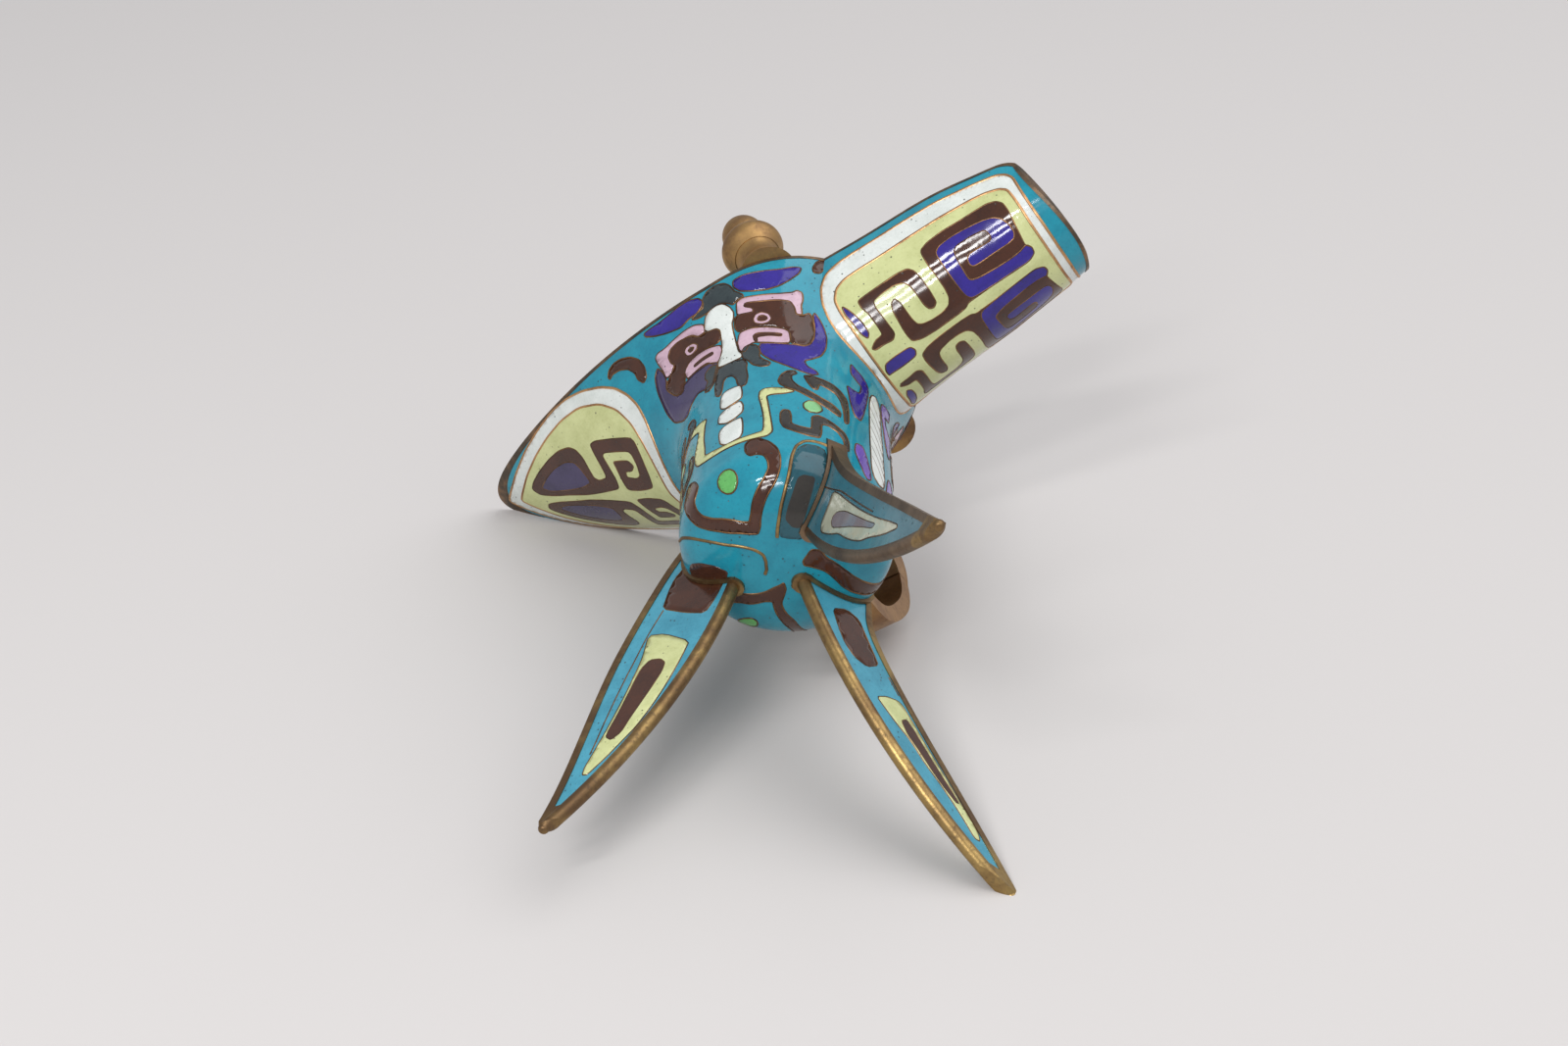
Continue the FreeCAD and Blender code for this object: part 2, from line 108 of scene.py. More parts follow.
def rim_height(x):
    if x < 0.0:
        return RIM_LOW + TAIL_RISE * (-x / TAIL_TIP) ** TAIL_BEND
    share = min(x / SPOUT_TIP, 1.0)
    return RIM_LOW + SPOUT_RISE * (share * (2.0 - share)) ** SPOUT_BEND


print("rim at the tail tip:", round(rim_height(-TAIL_TIP), 1), "mm")

# %% [markdown]
# ## Maps from paper to wall
# Every pattern is drawn flat, like a maker's paper pattern, in two numbers that suit its place: an angle
# and a height round the cup, a length and an angle along the spout, a plan view for the tail, and shares of
# the face for a leg. A map turns those two numbers into a point of the wall. UV unwrapping would do the
# same for a painted texture, but here the pattern becomes real geometry, so the map runs the other way.

# %% Map of the cup, and of its round bottom
BOTTOM_START, BOTTOM_DEPTH, BOTTOM_FULLNESS = 65.5, 12.0, 1.2
BOTTOM_PAPER = 28.0  # the height that the paper gives to the way from the wall to the middle of the bottom


def on_cup(angle, height, side=-1):
    a = math.radians(angle)
    if height < BOTTOM_START:
        turn = math.radians(90.0 * min((BOTTOM_START - height) / BOTTOM_PAPER, 1.0))
        r = BOWL_RADIUS * max(math.cos(turn), 0.0) ** (1.0 / BOTTOM_FULLNESS)
        z = BOTTOM_START - BOTTOM_DEPTH * math.sin(turn) ** (1.0 / BOTTOM_FULLNESS)
        return Vector((r * math.sin(a), side * r * math.cos(a), z))
    reach = front_reach(height) if math.sin(a) >= 0.0 else tail_length(height)
    return Vector((reach * math.sin(a), side * mouth_radius(height) * math.cos(a), height))


print("cup wall under the nose:", on_cup(0, 90))

# %% Maps of the spout and the tail
SPOUT_ROOT, SPOUT_LENGTH, SPOUT_HALF = 9.0, 62.3, 18.5
LIP = 1.3
KEEL_LOW, KEEL_RISE = 100.3, 16.3
SPOUT_WIDTHS = [
    (0.0, 1.08), (0.11, 1.063), (0.21, 1.045), (0.29, 1.02), (0.385, 0.995), (0.51, 0.98), (0.63, 0.958),
    (0.75, 0.905), (0.85, 0.858), (0.93, 0.808), (0.995, 0.768), (1.06, 0.727)]


def between(pairs, share):
    """The value at a share, read from a run of (share, value) pairs."""
    for (a, low), (b, high) in zip(pairs, pairs[1:]):
        if share <= b:
            return low + (high - low) * (share - a) / (b - a)
    return pairs[-1][1]


def on_spout(x, turn):
    share = (x - SPOUT_ROOT) / SPOUT_LENGTH
    top = rim_height(x) + LIP
    keel = KEEL_LOW + KEEL_RISE * share
    b = math.radians(turn)
    half = -SPOUT_HALF * between(SPOUT_WIDTHS, share)
    p = Vector((x, half * math.sin(b), top - (top - keel) * math.cos(b)))
    inside = (p.x / front_reach(p.z)) ** 2 + (p.y / mouth_radius(p.z)) ** 2
    if inside < 1.0:
        p.x, p.y = p.x / math.sqrt(inside), p.y / math.sqrt(inside)
    return p


def on_tail(x, y):
    """The height is found by halving: above the wall a point is inside the outline, below it outside."""
    low, high = 90.0, 142.0
    for _ in range(26):
        z = (low + high) / 2.0
        if (x / tail_length(z)) ** 2 + (y / mouth_radius(z)) ** 2 > 1.0:
            low = z
        else:
            high = z
    return Vector((x, y, low))


print("spout keel:", on_spout(40, 0), "tail keel:", on_tail(-50, 0))

# %% [markdown]
# A leg is a thin blade with two flat faces. Its outer edge is a run of points and its inner edge one arc.
# A place on a face is given by two shares: 0 to 1 from the outer edge to the inner one, and 0 to 1 from
# the toe to the root. Each leg has its own angle, reach and bends, written in one row.

# %% Map of a leg's face
# angle, reach of the toe, hollow, shoulder and rise of the outer edge, belly and sink of the inner edge
LEGS = {"tail_leg": (191.2, 49.2, 4.7, 6.2, 6.0, 0.4, -1.2),
        "spout_leg": (329.6, 56.9, 5.2, 0.6, 4.3, -1.3, -2.6),
        "handle_leg": (74.1, 55.7, 6.7, -3.4, -4.5, 3.9, 4.6)}
LEG_EDGE = [
    (1.0, 0.0), (0.92, 0.135), (0.8, 0.29), (0.65, 0.44), (0.5, 0.57), (0.32, 0.71), (0.14, 0.86),
    (0.0, 0.98)]
LEG_HEIGHT = 66.0
INNER_EDGE = [(0.985, -0.012), (-0.01, 0.475), (-0.46, 0.9)]
HALF_OUTER, HALF_INNER, HALF_TOE = 1.2, 1.3, 0.95


def arc_point(a, b, c, share):
    """A point on the arc from a through b to c."""
    centre = Vector(geometry.intersect_line_line(
        ((a + b) / 2).to_3d(), ((a + b) / 2 + (b - a).orthogonal()).to_3d(),
        ((b + c) / 2).to_3d(), ((b + c) / 2 + (c - b).orthogonal()).to_3d())[0]).to_2d()
    return centre + Matrix.Rotation((a - centre).angle_signed(c - centre) * -share, 2) @ (a - centre)


def on_leg(leg, face, across, along):
    """across: 0 outer edge to 1 inner edge. along: 0 toe to 1 root. face: 1, -1, or 0 for the middle."""
    angle, toe, hollow, shoulder, rise, belly, sink = LEGS[leg]
    span_out = toe - BOWL_RADIUS
    run = []
    for r, z in LEG_EDGE:
        hump = z * (1.0 - z)
        bend = shoulder * 6.75 * hump * z - hollow * 4 * hump
        run.append(Vector((BOWL_RADIUS + span_out * r + bend, LEG_HEIGHT * z + rise * z ** 3)))
    spans = [(b - a).length for a, b in zip(run, run[1:])]
    left = along * sum(spans)
    for a, b, span in zip(run, run[1:], spans):
        if left <= span or b is run[-1]:
            outer = a + (b - a) * (left / span)
            break
        left -= span
    ends = [Vector((BOWL_RADIUS + span_out * r, LEG_HEIGHT * z)) for r, z in INNER_EDGE]
    ends[1] -= Vector((belly, belly)) * math.sqrt(0.5)
    ends[2] -= Vector((sink, sink)) * math.sqrt(0.5)
    r, z = outer + (arc_point(*ends, along) - outer) * across
    slope = (HALF_OUTER - HALF_INNER) / BOWL_RADIUS
    thin = HALF_TOE - HALF_OUTER - slope * span_out
    half = HALF_OUTER + slope * (r - BOWL_RADIUS) + thin * (LEG_HEIGHT - z) / LEG_HEIGHT
    return Matrix.Rotation(math.radians(angle), 3, "Z") @ Vector((r, face * half, z))


print("toe of the spout leg:", on_leg("spout_leg", 1, 0.5, 0.0))

# %% [markdown]
# A map also tells which way the wall faces: two short steps along it give two directions, and their cross
# product stands upright on the wall. Lifting a point along that direction by a few hundredths of a
# millimetre puts a cell on top of the copper instead of inside it.

# %% Lift off the wall
def lifted(place, u, v, lift, step=0.05):
    p = place(u, v)
    across = place(u + step, v) - place(u - step, v)
    along = place(u, v + step) - place(u, v - step)
    normal = across.cross(along)
    if normal.length < 1e-9:
        return p
    return p + normal.normalized() * lift


def to_world(p):
    return (p + BOWL_AXIS) * MM


def facing_out(place, u, v, core=None):
    """1 or -1: the sign of the lift that points away from the copper. core maps to a point inside it.
    Without a core the point looked away from is in the cup, above the place itself."""
    p = place(u, v)
    out = lifted(place, u, v, 1.0) - p
    middle = core(u, v) if core else Vector((min(max(p.x, -8.0), 8.0), 0.0, max(p.z, 75.0) + 10.0))
    return 1.0 if out.dot(p - middle) > 0.0 else -1.0


print("lift at the nose line:", facing_out(on_cup, 0, 90))

# %% [markdown]
# ## Colours of the glass
# The glass pastes of this vessel are few: turquoise for the ground, cobalt, aubergine, a yellowish cream,
# white, a red brown, pink, leaf green, slate and lilac. Ash, umber and pale green are duller pastes in the
# fret and on one leg. That leg's cream and the turquoise at its root also get darker copies, stone and
# deep, which are painted shade. Colours are easiest to judge as they look on a screen, so they are
# written that way here and turned into the linear values that the shader needs.

# %% Colours
def paint(r, g, b):
    def linear(c):
        c = c / 255.0
        return c / 12.92 if c <= 0.04045 else ((c + 0.055) / 1.055) ** 2.4
    return (linear(r), linear(g), linear(b), 1.0)


GLASS = {
    "turquoise": (paint(30, 138, 158), paint(18, 106, 128)),
    "cobalt": (paint(50, 38, 134), paint(34, 26, 92)),
    "aubergine": (paint(66, 58, 92), paint(46, 40, 66)),
    "cream": (paint(198, 202, 146), paint(170, 174, 116)),
    "white": (paint(214, 218, 214), paint(186, 192, 186)),
    "brown": (paint(72, 40, 26), paint(46, 26, 18)),
    "pink": (paint(198, 168, 182), paint(164, 134, 150)),
    "green": (paint(104, 178, 98), paint(72, 142, 74)),
    "slate": (paint(52, 62, 64), paint(34, 42, 46)),
    "lilac": (paint(112, 86, 172), paint(84, 62, 136)),
    "ash": (paint(128, 120, 124), paint(100, 92, 98)),
    "umber": (paint(52, 48, 44), paint(36, 34, 32)),
    "pale_green": (paint(132, 188, 132), paint(106, 166, 110)),
    # cream painted darker: painted shade on the arrows of the leg under the spout
    "stone": (paint(176, 178, 158), paint(150, 152, 132)),
    # turquoise painted darker: painted shade on the wall at the root of the leg under the spout
    "deep": (paint(34, 82, 94), paint(22, 58, 68)),
}
print("glass pastes:", ", ".join(GLASS))

# %% [markdown]
# ## Node groups shared by the finishes
# Fired glass isn't even: paste is packed in by hand, so its depth and shade wander, and tiny gas bubbles
# burst at the surface and leave pits that fill with dark polish. A group keeps each of these effects in one
# place, with its own inputs, and every finish uses it with its own values. A group here only puts out
# colours, masks and heights. The shader itself stays in the material.

# %% A helper to make groups
def new_group(name, inputs, outputs):
    group = bpy.data.node_groups.new(name, "ShaderNodeTree")
    for kind, label, value in inputs:
        socket = group.interface.new_socket(name=label, in_out="INPUT", socket_type="NodeSocket" + kind)
        socket.default_value = value
    for kind, label in outputs:
        group.interface.new_socket(name=label, in_out="OUTPUT", socket_type="NodeSocket" + kind)
    start = group.nodes.new("NodeGroupInput")
    end = group.nodes.new("NodeGroupOutput")
    return group, start.outputs, end.inputs


def node(tree, kind, **settings):
    made = tree.nodes.new("ShaderNode" + kind)
    for key, value in settings.items():
        setattr(made, key, value)
    return made


def noise(tree, scale, detail=2.0, rough=0.5):
    """Noise in the object's own space, in which 1 unit is 1 metre."""
    made = node(tree, "TexNoise")
    place = node(tree, "TexCoord")
    tree.links.new(place.outputs["Object"], made.inputs["Vector"])
    made.inputs["Detail"].default_value = detail
    made.inputs["Roughness"].default_value = rough
    if isinstance(scale, (int, float)):
        made.inputs["Scale"].default_value = scale
    else:
        tree.links.new(scale, made.inputs["Scale"])
    return made.outputs["Fac"]


def ramp(tree, value, low, high):
    """0 below low, 1 above high, smooth between."""
    made = node(tree, "MapRange", interpolation_type="SMOOTHSTEP")
    tree.links.new(value, made.inputs["Value"])
    for label, number in (("From Min", low), ("From Max", high)):
        if isinstance(number, (int, float)):
            made.inputs[label].default_value = number
        else:
            tree.links.new(number, made.inputs[label])
    return made.outputs["Result"]


def math_node(tree, operation, a, b):
    made = node(tree, "Math", operation=operation)
    for k, value in enumerate((a, b)):
        if isinstance(value, (int, float)):
            made.inputs[k].default_value = value
        else:
            tree.links.new(value, made.inputs[k])
    return made.outputs[0]


def blend(tree, share, a, b):
    made = node(tree, "Mix", data_type="RGBA")
    tree.links.new(share, made.inputs["Factor"])
    for k, value in ((6, a), (7, b)):
        if hasattr(value, "links"):
            tree.links.new(value, made.inputs[k])
        else:
            made.inputs[k].default_value = value
    return made.outputs[2]


print("node groups so far:", len(bpy.data.node_groups))

# %% Group: uneven paste
def make_paste_group():
    group, given, put = new_group(
        "uneven_paste",
        [("Color", "Paste", (0.1, 0.3, 0.4, 1)), ("Color", "Thin", (0.05, 0.2, 0.3, 1)),
         ("Float", "Cloud Scale", 160.0), ("Float", "Grain Scale", 1800.0), ("Float", "Grain", 0.35)],
        [("Color", "Color"), ("Float", "Cloud"), ("Float", "Ripple")],
    )
    cloud = ramp(group, noise(group, given["Cloud Scale"], 3.0, 0.6), 0.34, 0.70)
    grain = ramp(group, noise(group, given["Grain Scale"], 2.0, 0.7), 0.42, 0.80)
    cloud_share = math_node(group, "MULTIPLY", cloud, 0.5)
    share = math_node(group, "ADD", cloud_share, math_node(group, "MULTIPLY", grain, given["Grain"]))
    group.links.new(blend(group, share, given["Paste"], given["Thin"]), put["Color"])
    group.links.new(cloud, put["Cloud"])
    group.links.new(noise(group, 420.0, 1.0), put["Ripple"])
    return group


PASTE = make_paste_group()
print("group:", PASTE.name)

# %% Group: pits from burst bubbles
def make_pit_group():
    group, given, put = new_group(
        "burst_bubbles", [("Float", "Scale", 1100.0), ("Float", "Share", 0.2), ("Float", "Size", 0.22)],
        [("Float", "Mask"), ("Float", "Height")],
    )
    cells = node(group, "TexVoronoi")
    place = node(group, "TexCoord")
    group.links.new(place.outputs["Object"], cells.inputs["Vector"])
    group.links.new(given["Scale"], cells.inputs["Scale"])
    pick = node(group, "SeparateColor")
    group.links.new(cells.outputs["Color"], pick.inputs["Color"])
    chosen = math_node(group, "LESS_THAN", pick.outputs["Red"], given["Share"])
    size = math_node(group, "MULTIPLY", given["Size"], math_node(group, "ADD", pick.outputs["Green"], 0.4))
    half_size = math_node(group, "MULTIPLY", size, 0.5)
    dot = math_node(group, "SUBTRACT", 1.0, ramp(group, cells.outputs["Distance"], half_size, size))
    mask = math_node(group, "MULTIPLY", chosen, dot)
    group.links.new(mask, put["Mask"])
    group.links.new(math_node(group, "SUBTRACT", 1.0, mask), put["Height"])
    return group


PITS = make_pit_group()
print("group:", PITS.name)

# %% Group: worn gilding
WEAR_BLUR = 0.16


def make_gilding_group():
    group, given, put = new_group(
        "worn_gilding",
        [("Color", "Gold", (0.4, 0.22, 0.06, 1)), ("Color", "Copper", (0.2, 0.09, 0.04, 1)),
         ("Color", "Grime", (0.03, 0.018, 0.012, 1)), ("Float", "Scale", 170.0), ("Float", "Wear", 0.5),
         ("Float", "Dirt", 0.4), ("Float", "Smoothness", 0.6)],
        [("Color", "Color"), ("Float", "Roughness"), ("Float", "Metallic"), ("Float", "Height")],
    )
    patches = noise(group, given["Scale"], 5.0, 0.65)
    edge = math_node(group, "ADD", given["Wear"], WEAR_BLUR)
    worn = ramp(group, patches, math_node(group, "SUBTRACT", given["Wear"], WEAR_BLUR), edge)
    fine = noise(group, 900.0, 4.0, 0.7)
    dirt = math_node(group, "MULTIPLY", ramp(group, fine, 0.50, 0.68), given["Dirt"])
    metal = blend(group, worn, given["Copper"], given["Gold"])
    group.links.new(blend(group, dirt, metal, given["Grime"]), put["Color"])
    polish = math_node(group, "ADD", given["Smoothness"], math_node(group, "MULTIPLY", worn, 0.10))
    rough = math_node(group, "SUBTRACT", 1.08, polish)
    rough = math_node(group, "ADD", rough, math_node(group, "MULTIPLY", dirt, 0.25))
    metallic = math_node(group, "SUBTRACT", 1.0, math_node(group, "MULTIPLY", dirt, 0.7))
    group.links.new(rough, put["Roughness"])
    group.links.new(metallic, put["Metallic"])
    coarse = math_node(group, "MULTIPLY", patches, 0.4)
    height = math_node(group, "ADD", coarse, math_node(group, "MULTIPLY", fine, 0.6))
    group.links.new(height, put["Height"])
    return group


GILDING = make_gilding_group()
print("group:", GILDING.name)

# %% [markdown]
# ## Finishes
# Enamel is glass on metal: a plain dielectric with a low roughness, so the colour sits under a sharp
# reflection. The pits darken the colour, dull the gloss and dent the surface through a Bump node.
# Gilding is a thin gold film on copper. Where it is rubbed off, the brown copper shows, so the group gives
# a colour, a roughness and a metallic value that change together.

# %% Finish helpers
PIT_SIZE, PIT_COLOR = 0.22, (0.02, 0.018, 0.016, 1)
GLASS_IOR, GLASS_SHINE = 1.5, 0.42
ENAMEL_DEPTH = 0.0001


def new_material(name):
    material = bpy.data.materials.new(name)
    material.use_nodes = True
    tree = material.node_tree
    shader = tree.nodes["Principled BSDF"]
    return material, tree, shader


def place_group(tree, group, **values):
    made = node(tree, "Group")
    made.node_tree = group
    for label, value in values.items():
        made.inputs[label.replace("_", " ")].default_value = value
    return made


def bump(tree, shader, height, strength, distance):
    made = node(tree, "Bump")
    made.inputs["Strength"].default_value = strength
    made.inputs["Distance"].default_value = distance
    tree.links.new(height, made.inputs["Height"])
    tree.links.new(made.outputs["Normal"], shader.inputs["Normal"])


def enamel(name, paste, thin, gloss=0.07, pits=0.20):
    material, tree, shader = new_material(name)
    body = place_group(tree, PASTE, Paste=paste, Thin=thin)
    holes = place_group(tree, PITS, Share=pits, Size=PIT_SIZE)
    shade = math_node(tree, "MULTIPLY", holes.outputs["Mask"], 0.8)
    tree.links.new(blend(tree, shade, body.outputs["Color"], PIT_COLOR), shader.inputs["Base Color"])
    rough = math_node(tree, "ADD", gloss, math_node(tree, "MULTIPLY", body.outputs["Cloud"], 0.08))
    dull = math_node(tree, "MULTIPLY", holes.outputs["Mask"], 0.4)
    tree.links.new(math_node(tree, "ADD", rough, dull), shader.inputs["Roughness"])
    ripple = math_node(tree, "MULTIPLY", body.outputs["Ripple"], 0.8)
    bump(tree, shader, math_node(tree, "ADD", holes.outputs["Height"], ripple), 0.35, ENAMEL_DEPTH)
    shader.inputs["IOR"].default_value = GLASS_IOR
    shader.inputs["Specular IOR Level"].default_value = GLASS_SHINE
    return material


def gilding(name, gold, copper, scale, wear, dirt=0.4, depth=0.00012, rough=0.42):
    material, tree, shader = new_material(name)
    film = place_group(tree, GILDING, Gold=gold, Copper=copper, Scale=scale, Wear=wear, Dirt=dirt,
                       Smoothness=1.0 - rough)
    tree.links.new(film.outputs["Color"], shader.inputs["Base Color"])
    for label in ("Roughness", "Metallic"):
        tree.links.new(film.outputs[label], shader.inputs[label])
    bump(tree, shader, film.outputs["Height"], 0.5, depth)
    return material


print("materials so far:", len(bpy.data.materials))

# %% Finishes of the glass
FINISH = {name: enamel("enamel_" + name, *pair) for name, pair in GLASS.items()}
for name, paste, thin, gloss, pits in (
    ("leg_turquoise", paint(70, 150, 172), paint(46, 118, 140), 0.14, 0.3),
    # the second row is the leg turquoise painted darker, as painted shade on the leg under the spout
    ("leg_turquoise_painted_shade", paint(58, 110, 124), paint(40, 84, 98), 0.16, 0.3),
    ("lining", paint(34, 128, 150), paint(18, 92, 112), 0.16, 0.4),
):
    FINISH[name] = enamel("enamel_" + name, paste, thin, gloss, pits)
print("glass finishes:", len(FINISH))

# %% Finishes of the metal
GILT = gilding("gilt_post", paint(178, 142, 92), paint(132, 102, 74), scale=90.0, wear=0.50, dirt=0.22,
               rough=0.46)
GILT_RIM = gilding("gilt_rim", paint(136, 108, 82), paint(88, 80, 70), scale=200.0, wear=0.52, dirt=0.45)
GILT_LEG = gilding("gilt_leg_edge", paint(172, 144, 92), paint(112, 88, 64), scale=75.0, wear=0.52,
                   depth=0.0002, rough=0.40)
# the leg gilding painted darker and browner, as painted shade on the leg under the spout
GILT_PAINTED_SHADE = gilding("gilt_leg_painted_shade", paint(130, 108, 86), paint(94, 80, 68), scale=60.0, wear=0.52,
                     dirt=0.3, rough=0.44)
GILT_HANDLE = gilding("gilt_handle", paint(176, 136, 88), paint(142, 108, 80), scale=80.0, wear=0.48,
                      dirt=0.25, rough=0.40)
COPPER = gilding("bare_copper", paint(150, 92, 62), paint(110, 62, 42), scale=120.0, wear=0.45)
WIRE = gilding("cell_wire", paint(140, 104, 70), paint(80, 58, 44), scale=150.0, wear=0.52, dirt=0.35,
               depth=0.00005, rough=0.36)
WIRE_BORDER = gilding("border_wire", paint(206, 160, 112), paint(158, 116, 80), scale=150.0, wear=0.48,
                      dirt=0.3, depth=0.00005, rough=0.4)
METALS = (GILT, GILT_RIM, GILT_LEG, GILT_PAINTED_SHADE, GILT_HANDLE, COPPER, WIRE, WIRE_BORDER)
print("metal finishes:", ", ".join(metal.name for metal in METALS))

# %% [markdown]
# ## Dress the solids
# The solids keep their meshes. A finish is given by putting a material in the object's slot, so the shape
# stays the one that was packed and only its look changes.

# %% Give the solids their finishes
def dress(name):
    if name.endswith("lining"):
        return FINISH["lining"]
    if name.endswith(("shell", "core")):
        return COPPER
    if name.endswith("enamel"):
        # the leg under the spout gets a darker enamel: painted shade
        leg = "leg_turquoise_painted_shade" if "spout_leg" in name else "leg_turquoise"
        return FINISH[leg if "leg" in name else "turquoise"]
    if name.endswith("rim_edge"):
        return GILT_RIM
    if name.startswith("handle_") and "leg" not in name:
        return GILT_HANDLE
    # the leg under the spout gets a darker gilding: painted shade
    if name.startswith("spout_leg") and not name.endswith("tip"):
        return GILT_PAINTED_SHADE
    if "leg" in name:
        return GILT_LEG
    return GILT


for name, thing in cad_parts.items():
    for slot in thing.material_slots:
        slot.material = dress(name)
print("dressed", len(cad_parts), "solids")

# %% [markdown]
# ## How cells and wires are made
# In cloisonne a thin wire is stood on the copper along every outline, and each cell between the wires is
# filled with paste, fired and ground flush. Painting the pattern as a texture would be quicker, but it
# would have no edge. Here each outline goes into a constrained Delaunay triangulation, which cuts a flat
# sheet exactly along the lines. Each triangle takes the colour of the topmost outline around it, and the
# map then bends the sheet onto the wall.

# %% Outline helpers
CORNER_CUT = 0.17


def soften(points, rounds=2, closed=True):
    """Corner cutting: each round replaces a corner by two points near it."""
    for _ in range(rounds):
        count = len(points)
        result = [] if closed else [points[0]]
        for k in range(count if closed else count - 1):
            a, b = points[k], points[(k + 1) % count]
            for p, q in ((a, b), (b, a)):
                result.append((p[0] + (q[0] - p[0]) * CORNER_CUT, p[1] + (q[1] - p[1]) * CORNER_CUT))
        points = result if closed else result + [points[-1]]
    return points


def divided(points, unit, step, closed=True):
    """The same outline with no side longer than step millimetres."""
    result = []
    ends = points[1:] + points[:1] if closed else points[1:]
    for a, b in zip(points, ends):
        length = math.hypot((b[0] - a[0]) * unit[0], (b[1] - a[1]) * unit[1])
        parts = max(math.ceil(length / step), 1)
        result += [(a[0] + (b[0] - a[0]) * k / parts, a[1] + (b[1] - a[1]) * k / parts)
                   for k in range(parts)]
    return result if closed else result + [points[-1]]


def mirrored(points, axis=1, about=0.0):
    """The outline reflected in its first number (axis 0) or its second one (axis 1)."""
    flip = [(2 * about - u, v) if axis == 0 else (u, 2 * about - v) for u, v in points]
    return flip[::-1]


def whole(half):
    """An outline drawn on one side of the line where the second number is 0, closed over that line."""
    return half + [(u, -v) for u, v in half[::-1] if v != 0]


def holds(outline, u, v):
    """Whether a point is inside: a line from it crosses the outline an odd number of times."""
    inside = False
    x0, y0 = outline[-1]
    for x1, y1 in outline:
        if (y0 > v) != (y1 > v) and u < (x0 - x1) * (v - y1) / (y0 - y1) + x1:
            inside = not inside
        x0, y0 = x1, y1
    return inside


print("a square after two cuts:", len(soften([(0, 0), (4, 0), (4, 4), (0, 4)])), "corners")

# %% Flat sheet of cells
MERGE = 0.02


def flat_pattern(cells, unit, step):
    """Triangles of a flat sheet: points, and for each triangle its corners and the finish on top there."""
    scaled = [(finish, [(u * unit[0], v * unit[1]) for u, v in divided(points, unit, step)])
              for finish, points in cells]
    coords, edges = [], []
    for finish, outline in scaled:
        base = len(coords)
        coords += [Vector(p) for p in outline]
        edges += [(base + k, base + (k + 1) % len(outline)) for k in range(len(outline))]
    us, vs = [p[0] for p in coords], [p[1] for p in coords]
    rows = int((max(vs) - min(vs)) / step) + 1
    columns = int((max(us) - min(us)) / step) + 1
    for j in range(rows):
        for i in range(columns):
            u = min(us) + (i + 0.25 + 0.5 * (j % 2)) * step
            v = min(vs) + (j + 0.5) * step
            if any(holds(outline, u, v) for _, outline in scaled):
                coords.append(Vector((u, v)))
    points, _, faces, *_ = geometry.delaunay_2d_cdt(coords, edges, [], 0, MERGE)
    triangles = []
    for face in faces:
        u = sum(points[k][0] for k in face) / 3.0
        v = sum(points[k][1] for k in face) / 3.0
        on_top = [finish for finish, outline in scaled if holds(outline, u, v)]
        if on_top:
            triangles.append((list(face), on_top[-1]))
    return [(p[0] / unit[0], p[1] / unit[1]) for p in points], triangles


square = [(0, 0), (4, 0), (4, 4), (0, 4)]
print("a 4 mm square is cut into", len(flat_pattern([("white", square)], (1.0, 1.0), 1.2)[1]), "triangles")

# %% Sheet of cells on the wall
SKIRT = 0.15


def finish_piece(name, data):
    thing = bpy.data.objects.new(name, data)
    bpy.context.scene.collection.objects.link(thing)
    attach(thing, "root")
    print("laid", name)
    return thing


def lay_cells(name, place, cells, unit=(1.0, 1.0), step=1.2, lift=0.09, core=None):
    """Thin enamel sheets on the wall. Outlines that touch share a sheet. Edges turn down to the ground."""
    points, triangles = flat_pattern(cells, unit, step)
    u0 = sum(points[k][0] for k in triangles[0][0]) / 3.0
    v0 = sum(points[k][1] for k in triangles[0][0]) / 3.0
    sign = facing_out(place, u0, v0, core)
    used = sorted({k for face, _ in triangles for k in face})
    index = {k: n for n, k in enumerate(used)}
    verts = [to_world(lifted(place, *points[k], sign * lift)) for k in used]
    faces = [[index[k] for k in (face if sign > 0 else face[::-1])] for face, _ in triangles]
    finishes = sorted({finish for _, finish in triangles})
    kinds = [finishes.index(finish) for _, finish in triangles]
    sides = {}
    for face, kind in zip(faces, kinds):
        for a, b in zip(face, face[1:] + face[:1]):
            sides[(a, b)] = kind
    rim = [(a, b, kind) for (a, b), kind in sides.items() if (b, a) not in sides]
    down = {}
    for a, b, kind in rim:
        for k in (a, b):
            if k not in down:
                down[k] = len(verts)
                verts.append(to_world(lifted(place, *points[used[k]], -sign * SKIRT)))
        faces.append([b, a, down[a], down[b]])
        kinds.append(kind)
    mesh = bpy.data.meshes.new(name)
    mesh.from_pydata(verts, [], faces)
    for finish in finishes:
        mesh.materials.append(FINISH[finish])
    for polygon, kind in zip(mesh.polygons, kinds):
        polygon.material_index = kind
        polygon.use_smooth = len(polygon.vertices) == 3
    return finish_piece(name, mesh)


print("sheets lie 0.09 mm above the ground, with a skirt", SKIRT, "mm deep")

# %% [markdown]
# The wires are curve objects: one spline for each outline, given a round bevel and sunk more than half
# into the enamel, as wire looks once it has been ground. A mesh strip would be flatter, but a bead
# catches the light in the same thin line that the real wire does.

# %% Wires
WIRE_STEP = 0.8


def round_curve(name, radius, resolution):
    curve = bpy.data.curves.new(name, "CURVE")
    curve.dimensions = "3D"
    curve.bevel_depth = radius * MM
    curve.bevel_resolution = resolution
    return curve


